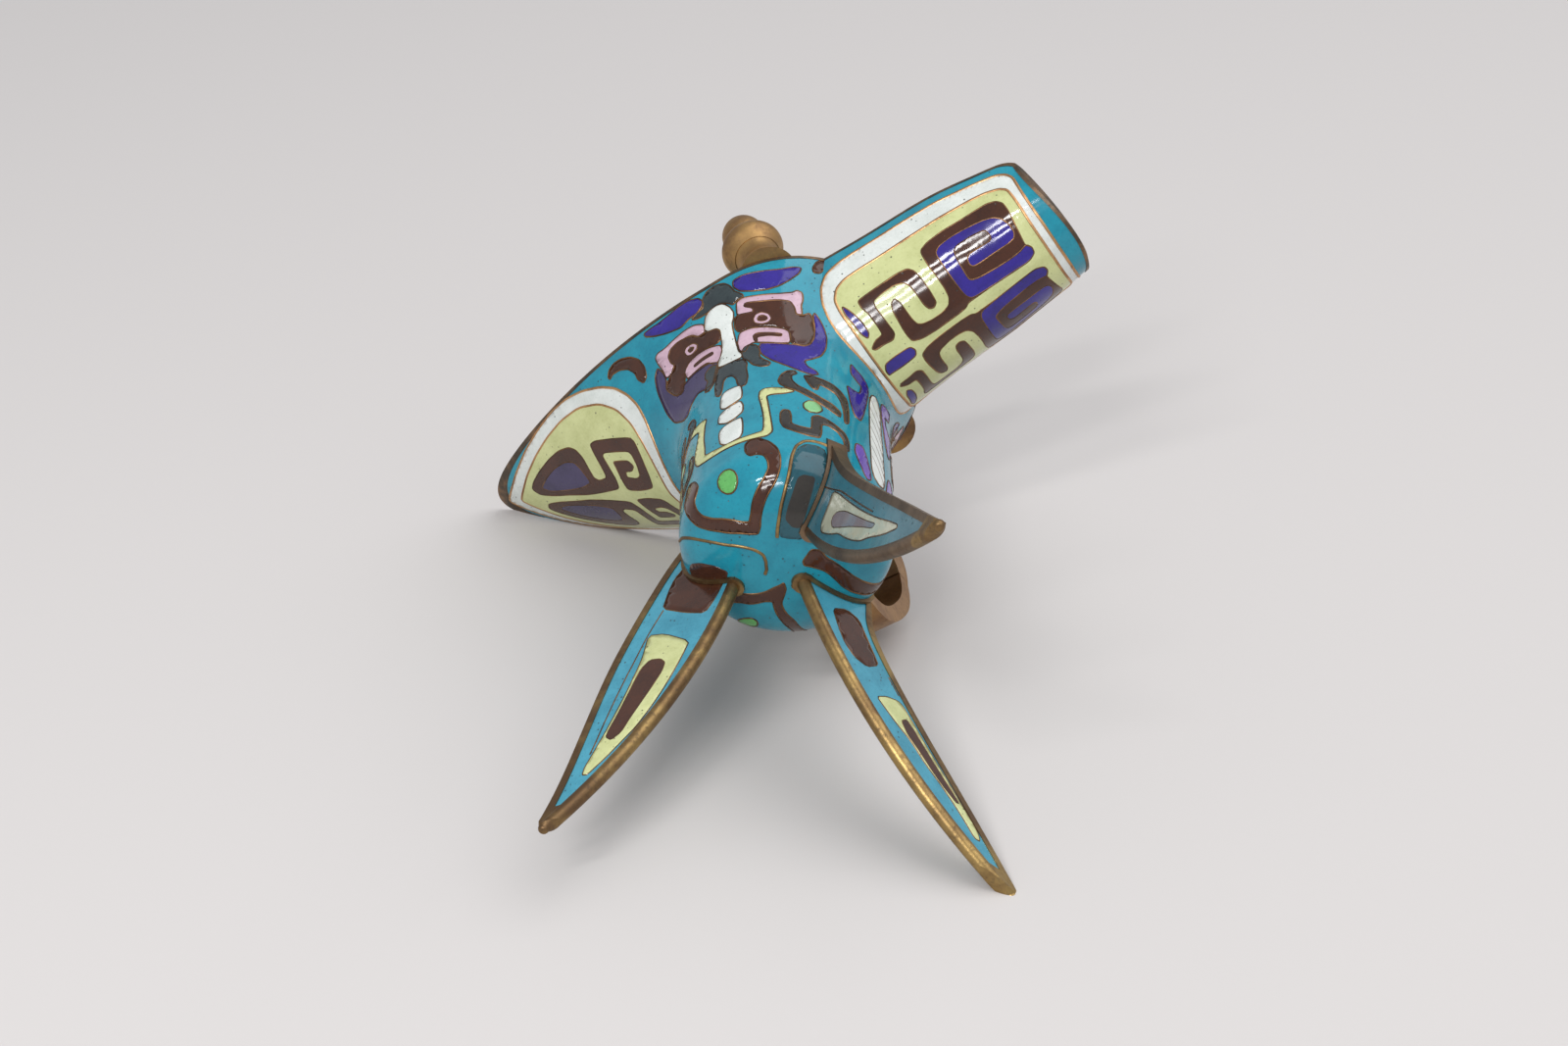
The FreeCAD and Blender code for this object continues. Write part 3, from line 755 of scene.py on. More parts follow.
def lay_wires(name, place, outlines, unit=(1.0, 1.0), width=0.48, proud=0.16, core=None, finish=WIRE,
              lines=()):
    """A bead along each closed outline and each open line, all in the map's two numbers."""
    radius = width / 2.0
    curve = round_curve(name, radius, 1)
    runs = [(points, True) for points in outlines] + [(points, False) for points in lines]
    for points, closed in runs:
        run = divided(points, unit, WIRE_STEP, closed)
        sign = facing_out(place, *run[len(run) // 2], core)
        spline = curve.splines.new("POLY")
        spline.points.add(len(run) - 1)
        for target, (u, v) in zip(spline.points, run):
            target.co = (*to_world(lifted(place, u, v, sign * (proud - radius))), 1.0)
        spline.use_cyclic_u = closed
    curve.materials.append(finish)
    return finish_piece(name, curve)


def lay_fields(name, wire_name, place, fields, unit=(1.0, 1.0)):
    """Cells, and a wire round each."""
    lay_cells(name, place, fields, unit)
    lay_wires(wire_name, place, [outline for _, outline in fields], unit)


print("wires are 0.48 mm wide and stand 0.16 mm proud, unless a call says otherwise")

# %% [markdown]
# ## The spout
# The spout carries one long cartouche round its underside: a white border, a cream ground, and on each side
# of the keel a squared spiral in cobalt on a brown frame, with a brown hook before it. Only one half is
# drawn. The other is its mirror image, which is how a symmetrical pattern is pounced through folded paper.

# %% Spout outlines (length along the spout in mm, turn from the keel in degrees)
spout_edge = [
    (22.2, 0), (22.1, 9), (21.3, 22), (20.3, 36), (19.7, 47), (19.7, 57), (20.3, 66), (22.0, 73),
    (25.3, 76.5), (30, 77.5), (38, 77.5), (48, 77.5), (57.5, 76.8), (62, 75.5), (64, 72.5), (65.2, 67),
    (65.7, 54), (66.3, 39), (66.8, 23), (67, 8), (67, 0)]
spout_ground = [
    (24, 0), (24, 9), (23.7, 23), (23.2, 35), (22.5, 46), (22.3, 54), (23.4, 60), (25.4, 62.8),
    (29, 63.6), (38, 63.6), (48, 64), (55.8, 65), (59, 64.6), (61.8, 62.5), (63.3, 59), (63.9, 51),
    (64.4, 39), (64.8, 21), (65, 8), (65, 0)]
spout_frame = [
    (42.3, 51), (44.2, 53.5), (47.6, 54.5), (52.2, 55), (56, 56), (58.4, 56.5), (60.3, 55), (61.5, 51),
    (61.9, 44), (61.9, 35), (61.8, 25), (61.6, 16), (62.6, 12), (62.4, 7), (60.7, 4), (56, 4.5),
    (51.5, 5), (47.6, 5), (46, 5), (45, 3), (42.5, 2.5), (37.8, 2.5), (34.4, 3.5), (32.5, 6), (32.2, 12),
    (32.2, 21), (32.2, 29), (32.6, 33.5), (33.6, 35), (34.3, 31), (34.6, 24), (34.8, 18), (35.2, 13.5),
    (36.1, 11.5), (38.3, 10), (40.7, 10), (42.5, 11.5), (43.4, 16), (43.5, 23), (43.2, 32), (42.6, 41)]
spout_spiral = [
    (61.9, 16), (62.6, 12), (62.4, 7), (60.7, 4), (56.5, 4.5), (51.5, 5), (47.2, 6), (46.3, 10),
    (45.9, 21), (45.4, 34), (45, 44), (46.1, 47), (49.1, 48), (52.5, 48), (56.4, 47), (58.6, 45),
    (60, 41), (60.9, 34), (61, 28), (60.4, 24.5), (58.8, 23.5), (55.9, 23.5), (52.3, 23), (50.6, 23.5),
    (50.1, 26), (50.3, 30), (51.1, 32), (53.7, 32), (56.2, 32), (56.5, 35), (56, 40.5), (52.9, 41.5),
    (49.5, 41), (48.6, 39), (48.4, 34), (48.5, 26), (48.6, 17), (50.7, 15), (54.1, 14), (57.5, 13.5),
    (60, 14)]
spout_hook = [
    (26.6, 46), (29, 46.5), (32.6, 47), (36.2, 47), (38.5, 46), (39.7, 42), (40.4, 34), (40.7, 25),
    (40.7, 18), (39.8, 16), (38.8, 17), (38.3, 21), (38.1, 28), (37.6, 36), (36.6, 40), (34.7, 42),
    (31.9, 42), (29.6, 41), (29.4, 37), (30, 27), (30.4, 17), (29.4, 14), (27.4, 15), (25.4, 15),
    (24.8, 17), (26.2, 20), (28.2, 20.5), (28.1, 27), (27.6, 36), (26.8, 41)]
spout_drop = [
    (23.2, 48.5), (24.1, 45), (25.1, 39), (25.8, 32), (25.9, 26), (25.2, 23.5), (24.4, 28), (23.9, 36),
    (23.2, 43)]
spout_bar = [
    (24.7, -4), (24.7, 0), (25.4, 4), (28, 4.5), (31.4, 4), (32, 0), (31.4, -4), (28, -4.5), (25.4, -4)]

print("corners of one spiral on the spout:", len(spout_spiral))

# %% Spout cells and wires
SPOUT_UNIT = (1.0, 0.30)
spout_cells = [("white", soften(whole(spout_edge))), ("cream", soften(whole(spout_ground))),
               ("cobalt", soften(spout_bar))]
for finish, outline in (("brown", spout_frame), ("cobalt", spout_spiral), ("brown", spout_hook),
                        ("cobalt", spout_drop)):
    spout_cells += [(finish, soften(outline)), (finish, mirrored(soften(outline)))]
spout_outlines = [outline for _, outline in spout_cells]
lay_cells("spout_cartouche", on_spout, spout_cells, SPOUT_UNIT)
lay_wires("spout_border_wires", on_spout, spout_outlines[:2], SPOUT_UNIT, 0.84, 0.26, finish=WIRE_BORDER)
lay_wires("spout_wires", on_spout, spout_outlines[2:], SPOUT_UNIT)

# %% [markdown]
# ## The tail
# The tail has the same white border round a cream ground. In it lie two long leaves that spring from the
# tip, brown outside and aubergine within, each ending in a squared key. The plan view is the natural paper
# for it, because the underside of the tail is nearly flat from front to back.

# %% Tail outlines (plan view in mm)
tail_edge = [
    (-76.6, 0), (-74.6, -2.2), (-68.8, -7.4), (-62.2, -12.4), (-55.7, -16.2), (-49.5, -19.2),
    (-43.7, -21.1), (-38.4, -22), (-33.5, -22.2), (-29.8, -21.7), (-27.2, -20.4), (-25.6, -18.7),
    (-25, -16.4), (-25.1, -13.6), (-25.6, -10.3), (-26.3, -6.3), (-26.9, -3.2), (-27.1, 0)]
tail_ground = [
    (-72.8, 0), (-71, -2), (-65.6, -7), (-59.6, -11.4), (-53.9, -14.8), (-47.7, -17.7), (-41.3, -19.6),
    (-35.4, -19.8), (-31.4, -18.5), (-29.1, -15.9), (-28.4, -12.7), (-28.4, -9.5), (-28.8, -5.8),
    (-29.6, -1.8), (-29.8, 0)]
tail_leaf = [
    (-67, -3.2), (-65.2, -5.1), (-61.4, -7.7), (-56.5, -10.4), (-52.4, -12.1), (-49, -12.7), (-47.3, -12),
    (-46.6, -10.2), (-46.8, -7.7), (-47, -5.4), (-46, -4.6), (-43.8, -5.1), (-43.3, -6), (-43, -8.6),
    (-42.9, -11.5), (-42.7, -12.9), (-40.9, -13.5), (-36, -13.6), (-31.1, -13.5), (-30.4, -12.6),
    (-30.8, -9.3), (-31.7, -5.5), (-33.1, -1.8), (-36.7, -1.2), (-40.2, -1.5), (-40, -3.7), (-39.3, -7.2),
    (-39.1, -8.9), (-37, -9), (-34.9, -8.9), (-34.2, -7.7), (-35.5, -6.5), (-37.4, -6.4), (-37.9, -5),
    (-35.7, -4.5), (-34.3, -5.1), (-33.3, -7.6), (-33, -10.1), (-33.5, -10.9), (-36.4, -11), (-40.2, -11),
    (-41, -10.3), (-41, -7.6), (-41.3, -4.6), (-42.3, -2.1), (-45.9, -1.5), (-50, -1), (-52.9, -0.8),
    (-57.4, -1), (-62.1, -1), (-65.8, -1.5)]
tail_leaf_heart = [
    (-63.9, -3.5), (-60.5, -6), (-56.4, -8.3), (-52.3, -9.6), (-49.8, -9.4), (-49.1, -7.6), (-48.9, -5.5),
    (-49, -4.1), (-51.8, -3.1), (-54.9, -2.6), (-58.4, -2.4), (-62, -2.4)]

print("corners of one tail leaf:", len(tail_leaf))

# %% Tail cells and wires
tail_cells = [("white", soften(whole(tail_edge))), ("cream", soften(whole(tail_ground)))]
for finish, outline in (("brown", tail_leaf), ("aubergine", tail_leaf_heart)):
    tail_cells += [(finish, soften(outline)), (finish, mirrored(soften(outline)))]
tail_outlines = [outline for _, outline in tail_cells]
lay_cells("tail_cartouche", on_tail, tail_cells)
lay_wires("tail_border_wires", on_tail, tail_outlines[:2], width=0.7, proud=0.24, finish=WIRE_BORDER)
lay_wires("tail_wires", on_tail, tail_outlines[2:])

# %% [markdown]
# ## The mask
# The front of the cup shows an animal mask, the old beast face of such vessels: a white nose, two brown eye
# blocks edged in pink, cobalt leaves for brows and a long cobalt curl under each eye. Below it hang a white
# braid, a cream zig-zag and a dark fret. Each field is a closed outline in angle from the nose and height.

# %% Mask outlines: brows, plume and nose (angle from the nose in degrees, height in mm)
mask = [
    ("brown", [
        (45.6, 121.4), (47.2, 123.4), (50, 124.6), (52.4, 124), (53.6, 122.9), (52.1, 122.2),
        (50.5, 121.6), (48.7, 120.3), (46.1, 120.2)]),
    ("cobalt", [
        (10.7, 119.3), (15.4, 120), (23, 120), (31.5, 120.1), (37.5, 120.9), (41, 120.9), (39.9, 119.3),
        (35.6, 117.4), (31.1, 116.1), (25.2, 115.4), (19, 115.6), (13.2, 116.3), (10.4, 117.7)]),
    ("cobalt", [
        (-19.6, 120.2), (-17.7, 120.2), (-15.2, 119.9), (-11.9, 120), (-8.4, 120.4), (-5.8, 120.2),
        (-3.6, 119.4), (-2.7, 117.9), (-3.1, 116.6), (-5, 116.2), (-7.7, 116.2), (-10.9, 115.5),
        (-15, 116.5), (-17.9, 117.8), (-19.8, 119.2)]),
    ("slate", [
        (-3.3, 117.1), (-2.6, 118.6), (-1, 119.8), (2.5, 120), (6.4, 119.6), (9, 118.4), (10.5, 116.8),
        (13.5, 115.7), (14.4, 115), (11, 114.6), (8.6, 113.9), (5.9, 114.8), (2.6, 115.4), (-0.5, 115.4),
        (-2.8, 114.9), (-5.5, 115), (-7.4, 115.6), (-5.4, 116.2)]),
    ("white", [
        (-4.5, 113), (-3.6, 114.3), (-1.7, 115.2), (0.8, 115.4), (4, 115), (6.6, 113.8), (8, 112.3),
        (7.3, 110.9), (5.9, 110), (5.7, 108), (6.2, 104.6), (6.9, 102), (9, 100.6), (8.6, 99.6),
        (3.5, 99.5), (-1.7, 99.7), (-4.9, 100.2), (-5, 101.2), (-2.9, 103.1), (-1.4, 105.2),
        (-0.9, 107.8), (-0.7, 109.7), (-1.9, 110.7), (-4.4, 111), (-5.2, 111.8)]),
]
print("fields of brows, plume and nose:", len(mask))

# %% Mask outlines: the eye towards the spout
mask += [
    ("pink", [
        (9.7, 112.6), (10.4, 114.1), (13.5, 114.7), (21.8, 114.4), (30.9, 114.3), (36.8, 114.6),
        (39, 115.2), (41.4, 114.8), (41.9, 113.3), (41, 111.7), (41.7, 109.7), (38.4, 109.6),
        (37.8, 111.2), (35.8, 112.6), (30.8, 112.9), (21.5, 113), (14.6, 113.4), (13.4, 112.8),
        (17.7, 111.8), (17.6, 110.9), (9.5, 111.2)]),
    ("brown", [
        (7.6, 110.6), (9.5, 111.3), (17.5, 110.9), (17.7, 111.8), (13.5, 112.7), (14.5, 113.4),
        (21.5, 113), (30.8, 112.9), (35.8, 112.6), (37.9, 111.2), (38.6, 109.7), (41.7, 109.5),
        (45.3, 110.4), (47, 108.9), (48.2, 106), (47.8, 103.9), (45.8, 101.9), (42.6, 101), (38.5, 101.4),
        (35.8, 101.6), (35.4, 105), (32.5, 105.9), (23.4, 106.8), (14.8, 107.4), (8.7, 107.1),
        (6.8, 108.6)]),
    ("pink", [
        (17, 109.2), (18.7, 110.3), (21.8, 110.5), (25, 109.9), (26.3, 108.7), (24.6, 107.8), (21, 107.6),
        (17.6, 108.2)]),
    ("brown", [
        (19.3, 109.2), (20.4, 109.7), (22.3, 109.7), (23.9, 109.2), (24.2, 108.7), (22.8, 108.3),
        (20.8, 108.4), (19.4, 108.7)]),
    ("pink", [
        (8.7, 106.9), (14.8, 107.2), (23.4, 106.6), (32.5, 105.7), (35, 104.9), (35.6, 101.6),
        (29.6, 101.5), (21.8, 102.3), (15.5, 103.1), (13.2, 102.6), (10.7, 100.8), (7.6, 101.9),
        (6.9, 104.5)]),
    ("brown", [
        (31.3, 104.4), (24.7, 105), (18, 105.5), (15.8, 105), (16.4, 103.3), (18.1, 102.9), (17.9, 104.3),
        (24.6, 104.1), (30.8, 103.5)]),
    ("cobalt", [
        (19.2, 102.3), (24.4, 101.8), (32.2, 101.2), (38.4, 101), (42.6, 100.8), (46.1, 101.7),
        (48.2, 104), (48.3, 106.8), (47, 109.9), (47.8, 110.7), (50.5, 109.3), (53.2, 107.4), (55, 105),
        (54.8, 101.6), (52, 98.7), (46.9, 97), (42.8, 95.9), (44.2, 94.2), (49.5, 93), (50.6, 92),
        (46.8, 91.3), (39.9, 92.2), (32, 94.1), (25.2, 96.1), (20.5, 98.3), (18.4, 100.4)]),
    ("slate", [
        (8.6, 101), (10.4, 102.4), (13.8, 102.8), (17.5, 102), (19.3, 100.1), (18.5, 98.3), (20.4, 97),
        (24.7, 95.4), (23.6, 94.3), (19.3, 94.5), (14.9, 95.8), (12.2, 97.8), (9.4, 98.9)]),
]
print("fields with the first eye:", len(mask))

# %% Mask outlines: the eye towards the tail
mask += [
    ("pink", [
        (-4.8, 113.1), (-5.3, 111.4), (-7.8, 111.3), (-9, 112.4), (-10.5, 112.8), (-13.9, 113.2),
        (-17.2, 112.9), (-19, 111.9), (-20, 110.2), (-19.2, 109.5), (-22.6, 108.2), (-25.1, 108.2),
        (-23.7, 110.2), (-23.1, 112.2), (-22.4, 113.6), (-20.8, 114.2), (-18.5, 113.9), (-14.4, 114.2),
        (-10.6, 114.4), (-7.4, 114.2)]),
    ("brown", [
        (-0.6, 109.8), (-0.9, 107.8), (-2.7, 107.2), (-6.6, 107.5), (-10.6, 107.7), (-14.6, 107.3),
        (-18.1, 106.2), (-21.5, 103.7), (-25.4, 102), (-29.3, 102.8), (-29.1, 106.1), (-26.1, 107.4),
        (-22.8, 108.1), (-19.5, 109.3), (-20, 110.3), (-19.2, 111.9), (-17.2, 112.9), (-14.1, 113.2),
        (-10.6, 112.8), (-9, 112.2), (-8, 111.3), (-5.4, 111.2), (-1.7, 110.7)]),
    ("pink", [
        (-14.2, 110.2), (-12.6, 110.9), (-10.2, 110.7), (-9.2, 109.8), (-10.2, 108.9), (-12.7, 108.5),
        (-14.2, 109)]),
    ("brown", [(-12.9, 110), (-11.6, 110.2), (-10.6, 109.8), (-11.2, 109.3), (-12.6, 109.2)]),
    ("pink", [
        (-1.8, 106.3), (-1.6, 104.4), (-3, 102.9), (-4.5, 102), (-7.1, 102.4), (-8.9, 103.8),
        (-12.2, 104), (-15.9, 103.9), (-19.9, 103.8), (-18.7, 106), (-14.6, 107.3), (-10.6, 107.6),
        (-6.6, 107.4)]),
    ("brown", [(-5.4, 105.8), (-9.6, 106), (-14.2, 105.8), (-14.4, 105.1), (-9.8, 105.2), (-5.4, 104.9)]),
    ("aubergine", [
        (-4.5, 101.8), (-5.8, 100.7), (-8, 98.4), (-10.2, 96.2), (-15, 96.4), (-20.1, 97.6),
        (-26.8, 96.8), (-33.2, 95.4), (-38.4, 96.5), (-42.6, 99.2), (-39.9, 101.9), (-35.3, 104.8),
        (-31.6, 107.6), (-27.4, 110.5), (-24.2, 111.7), (-24.3, 109.8), (-25.7, 107.9), (-29.1, 106.2),
        (-29.4, 102.8), (-26, 101.8), (-21.9, 103.4), (-16.2, 103.7), (-11.5, 103.6), (-8.1, 103.2)]),
    ("slate", [
        (-5, 100.9), (-6.4, 101.8), (-9, 102), (-12, 101.2), (-13.4, 99.6), (-12.4, 98.2), (-14.6, 97),
        (-16.2, 95.6), (-12.8, 94.8), (-9.6, 95.8), (-7.6, 97.8), (-5.6, 98.9)]),
]
print("fields with both eyes:", len(mask))

# %% Outlines below the mask: arch, braid and zig-zag
below_mask = [
    ("slate", [
        (-6.2, 99.9), (-1.2, 99.7), (4.7, 99.4), (8.9, 98.9), (11.6, 97.1), (11, 95.2), (11.9, 92.2),
        (10.9, 89.6), (8.1, 89.3), (5.8, 90.8), (5, 93.1), (2.6, 94.8), (-1.1, 95.3), (-3.2, 94.4),
        (-3.9, 92.1), (-5.3, 89.9), (-8.5, 91.1), (-9, 94.2), (-7.4, 97.1)]),
    ("white", [
        (-5, 85.2), (-5, 88.4), (-3.8, 89.9), (-0.5, 90.4), (4.4, 90.2), (7.8, 89.8), (8.6, 87.4),
        (8.3, 85.2), (3, 84.4), (-2, 84.2)]),
    ("white", [
        (-6.2, 80.2), (-6.2, 82.2), (-4, 83.4), (1.5, 83.9), (7.6, 84.3), (9.2, 82.6), (9.2, 80.2),
        (4.7, 78.9), (-1, 78.6)]),
    ("white", [
        (-5.6, 76), (-4.7, 77.4), (-0.1, 78.1), (4.8, 78.3), (8.4, 78.3), (9.2, 76), (9.2, 72.8),
        (7.9, 71.4), (3.9, 71.1), (-1, 71.1), (-4.6, 72.6)]),
    ("cream", [
        (-21.7, 71.5), (-24.9, 73.6), (-25.3, 76.9), (-22.9, 81), (-22.2, 83.9), (-28.7, 85), (-34, 86),
        (-32.6, 87.2), (-26.6, 87.1), (-19.6, 86.3), (-15.3, 85.6), (-16.8, 83.2), (-17.3, 79.2),
        (-16, 75.2), (-15.8, 72.7), (-10.4, 71.9), (-4.2, 71.2), (3.9, 71), (13.5, 70.9), (20.4, 71.2),
        (20.9, 72.8), (20.9, 76.2), (19.8, 79.9), (18.2, 83.6), (18.7, 85.6), (21.4, 86.3), (26.7, 86.1),
        (32.9, 85.6), (37.6, 84.6), (31.9, 83.8), (25.6, 83.8), (22.3, 83.5), (23, 81.2), (24, 77.6),
        (25.1, 73.4), (25.6, 70.6), (22.5, 69.3), (16.2, 69.3), (8, 69.5), (0.3, 69.6), (-7.4, 69.8),
        (-14.8, 70.4)]),
]
print("fields below the mask:", len(below_mask))

# %% Outlines beside the braid: fret and dot
NOSE_LINE = 1.5
fret = [
    ("umber", [
        (28.6, 88.6), (30.2, 90.7), (33.4, 92), (37.6, 92.1), (38.7, 91.1), (35.5, 90.3), (36, 88.5),
        (39.6, 86.6), (45.4, 85.3), (51.8, 83.8), (58.6, 82.7), (63.2, 81.1), (62.5, 79.2), (57.3, 80.3),
        (50.7, 81.8), (44.3, 83.4), (38, 85.1), (32.8, 86), (29.7, 87.2)]),
    ("umber", [
        (42.3, 90.7), (46.6, 91), (53.2, 90.6), (58.9, 90), (63.7, 88.8), (67.3, 86.9), (68.3, 83),
        (68, 78.7), (65.4, 77.9), (65.1, 82), (63.5, 85.1), (60.6, 87.1), (55.4, 88), (50.9, 88.6),
        (49.7, 86.3), (47.1, 86.6), (44.4, 88.4)]),
    ("pale_green", [
        (41.9, 80.6), (44.6, 81.8), (48.1, 82), (51.3, 81), (52.4, 79.4), (49.6, 78), (45.3, 77.8),
        (42.2, 78.9)]),
    ("umber", [
        (29.7, 77), (31.3, 78.1), (34.4, 77.8), (35.4, 75.8), (35.2, 73.2), (39.4, 72.3), (46.1, 71.9),
        (46.3, 74.5), (46.6, 76.4), (49.6, 77.3), (53.9, 76.8), (60, 75.7), (65.3, 74.3), (67.6, 72),
        (67.3, 68.6), (64.9, 68.8), (64.3, 71.7), (60.5, 73.7), (55.4, 74.6), (51.6, 74.4), (51.4, 71.2),
        (50.3, 69.4), (45, 69.4), (37.9, 70.3), (31.7, 71.7), (29.7, 73.8)]),
]
below_mask += fret + [(finish, mirrored(outline, 0, NOSE_LINE)) for finish, outline in fret]
print("fields round the mask:", len(mask) + len(below_mask))

# %% [markdown]
# The fields lie straight on the turquoise of the solid, so no ground sheet is needed between them. The far
# side of the cup, behind the handle, repeats the mask as a mirror image: vessels of this kind carry one on
# each side. A Mirror modifier would copy it too, but calling the same map with the other side keeps the
# faces turned outwards.

# %% Mask cells and wires, on both sides
CUP_UNIT = (0.375, 1.0)
mask_fields = [(finish, soften(outline)) for finish, outline in mask + below_mask]
for side, word in ((-1, "near"), (1, "far")):
    def place(angle, height, side=side):
        return on_cup(angle, height, side)
    lay_fields("mask_" + word, "mask_wires_" + word, place, mask_fields, CUP_UNIT)

# %% [markdown]
# ## Round the bowl
# Between each pair of legs a brown bracket opens upwards round a green dot. Under the spout, where the wall
# turns towards the handle, hang a white twisted rope and long pointed leaves in lilac and cobalt. One sheet
# round the whole bowl would do, but small sheets in their own places are quicker to cut and to change.

# %% Outlines of the lower bowl (angle, and height that runs on under the bowl)
bracket = [
    (10.8, 68.3), (13.5, 69.3), (18.9, 68.9), (24.1, 67.2), (28.2, 64.8), (29.6, 61.8), (29.4, 58.7),
    (27.4, 55.9), (24.6, 54), (19.8, 52), (15.5, 50.1), (11.4, 48.4), (5.5, 46), (-0.8, 45), (-9.5, 46),
    (-21.8, 48.6), (-29.9, 52.3), (-34.1, 55.7), (-35.4, 60.1), (-36.5, 64.9), (-34.5, 68.2),
    (-29.7, 69.2), (-24.4, 67.5), (-20.4, 64.4), (-22.4, 62.9), (-26.3, 61.5), (-27.4, 58.5), (-26.4, 56),
    (-22.2, 53.4), (-13.2, 50.6), (-6.5, 48.6), (-1, 47.8), (3.9, 49.2), (8.6, 51.4), (13.8, 53.7),
    (19.4, 56.1), (22.9, 58.5), (22.9, 60.9), (21, 63.1), (17.3, 63.9), (13.6, 63.9), (10.9, 65.7)]
dot = [(-1.5 + 6.2 * math.cos(math.radians(k * 30)), 59 + 3.6 * math.sin(math.radians(k * 30)))
       for k in range(12)]
bracket_spout = [
    (81.5, 39.8), (98.8, 39.5), (113.6, 40.7), (125.5, 42.5), (137.1, 44.2), (146.5, 46.3), (151, 49),
    (153, 53), (153.5, 58), (152, 63), (148, 67), (143, 69), (138, 68), (136, 65.5), (141, 64.5),
    (145, 62), (146, 58), (144, 54), (140, 50.5), (134, 47.8), (124, 45.6), (113.3, 44.2), (101.5, 43.1),
    (85, 42.9), (74.5, 42)]
bracket_tail = [
    (-99.5, 47.6), (-106.7, 46.4), (-116.1, 43.9), (-126.3, 43.2), (-133.1, 45.3), (-141.2, 48.3),
    (-147.6, 52), (-150, 55), (-151, 60), (-148, 64.5), (-152, 66.5), (-157, 63), (-158, 57),
    (-154.7, 51.2), (-152, 48.2), (-145, 45.8), (-137.7, 43.2), (-139.9, 41.4), (-142.2, 40),
    (-131.6, 39), (-112.9, 40.4), (-106, 42.2), (-96, 44.5), (-89.9, 46), (-84.5, 50), (-83.5, 56),
    (-86, 62), (-90.5, 65), (-94, 63), (-91, 58), (-91, 52.5)]
print("corners of the three brackets:", len(bracket), len(bracket_spout), len(bracket_tail))

# %% Brackets and dots between the legs
# each row: the bracket's place, its outline, and how far its dot is turned and lowered from the first one
for word, outline, turn, drop in (("near", bracket, 0.0, 0.0), ("spout", bracket_spout, 118.0, 0.0),
                                  ("tail", bracket_tail, -119.0, 5.0)):
    fields = [("brown", soften(outline)), ("green", [(u + turn, v - drop) for u, v in soften(dot, 1)])]
    lay_fields("bracket_" + word, "bracket_wires_" + word, on_cup, fields, CUP_UNIT)

# %% Rope and leaves under the spout
flame = [
    (70.1, 100.7), (73.6, 99.9), (78.8, 99.1), (82.9, 97.7), (83.8, 95.6), (82, 91.2), (79.1, 85.8),
    (76.4, 82.4), (72.3, 82.9), (69.9, 86.3), (68.8, 89.5), (67.6, 92.3), (71.6, 91.9), (76.5, 92.3),
    (78.1, 95.4), (74.5, 96.1), (70.3, 97.4)]
leaf = [
    (72.1, 73.2), (77, 73.8), (79.7, 71.2), (82, 67.5), (82.6, 64.5), (80, 63.5), (77.4, 64.4),
    (73.5, 67.6), (71.1, 70.1)]
rope = [
    (84.5, 92.7), (86.5, 96), (90, 97), (93.5, 96), (95.5, 92.7), (96, 86), (96.5, 80), (96.5, 74),
    (96.5, 69), (94.5, 66.5), (90, 65.6), (85.5, 66.5), (83.5, 69), (83.5, 74), (83.5, 80), (84, 86)]
SPOUT_LINE = 90.0
under_spout = [("cobalt", flame), ("lilac", leaf), ("lilac", mirrored(flame, 0, SPOUT_LINE)),
               ("lilac", mirrored(leaf, 0, SPOUT_LINE)), ("white", rope)]
rope_lines = [[(84.4, v + 2.4), (90, v), (95.6, v - 3.4)] for v in (71, 74.5, 78, 81.5, 85, 88.5, 92)]
fields = [(finish, soften(outline)) for finish, outline in under_spout]
lay_fields("under_spout", "under_spout_wires", on_cup, fields, CUP_UNIT)
lay_wires("rope_wires", on_cup, [], CUP_UNIT, 0.3, 0.13, lines=rope_lines)

# %% [markdown]
# At its root each leg flares out on to the bowl, and a gilt wire closes the flare. Two of these are drawn.
# The wall between the wire and the spout leg is covered by a field of darker turquoise, which is painted
# shade, with a dark block in it, and the brown block of the tail leg runs on. A solid fillet would be the
# caster's way, but here only the enamel and the wire are added, because the solids already carry the
# collar.

# %% Flares at the roots of two legs
root_painted_shade_field = [
    (21.6, 43.2), (27.1, 46.5), (32.2, 51.6), (35.2, 56.3), (36.6, 61.8), (38.6, 64.9), (42.7, 66.4),
    (49, 66.5), (53.7, 65.6), (54.6, 58.9), (54.6, 51.2), (54.6, 46.9), (54.6, 42.9), (35.1, 42.7)]
root_block = [
    (39.2, 55.9), (42.4, 56.8), (49.4, 56.6), (49.4, 54.1), (49, 49.9), (48.6, 46.4), (46.6, 44.9),
    (37.9, 44.9), (30.8, 46.4), (32.7, 48.4), (36.2, 51.6)]
root_patch = [
    (-62.8, 56.2), (-58.3, 52.8), (-56.9, 49), (-61, 46.4), (-69.4, 46.9), (-74.6, 48), (-74.6, 57.5),
    (-68, 57.5)]
spout_loop = [
    (19, 43.2), (25.3, 46.5), (30.9, 51.6), (34.1, 56.3), (35.6, 62.1), (37.6, 65.4), (41.7, 67.3),
    (46.9, 67.8), (54.9, 67.5), (60.4, 66), (64.5, 63.1)]
tail_loop = [
    (-56, 63), (-50, 60.4), (-44.5, 56.6), (-39.4, 52.3), (-33.4, 48), (-25.7, 45.2), (-19.1, 43.1),
    (-17, 41.4), (-28, 40.4), (-50, 39.9), (-66, 40.2)]
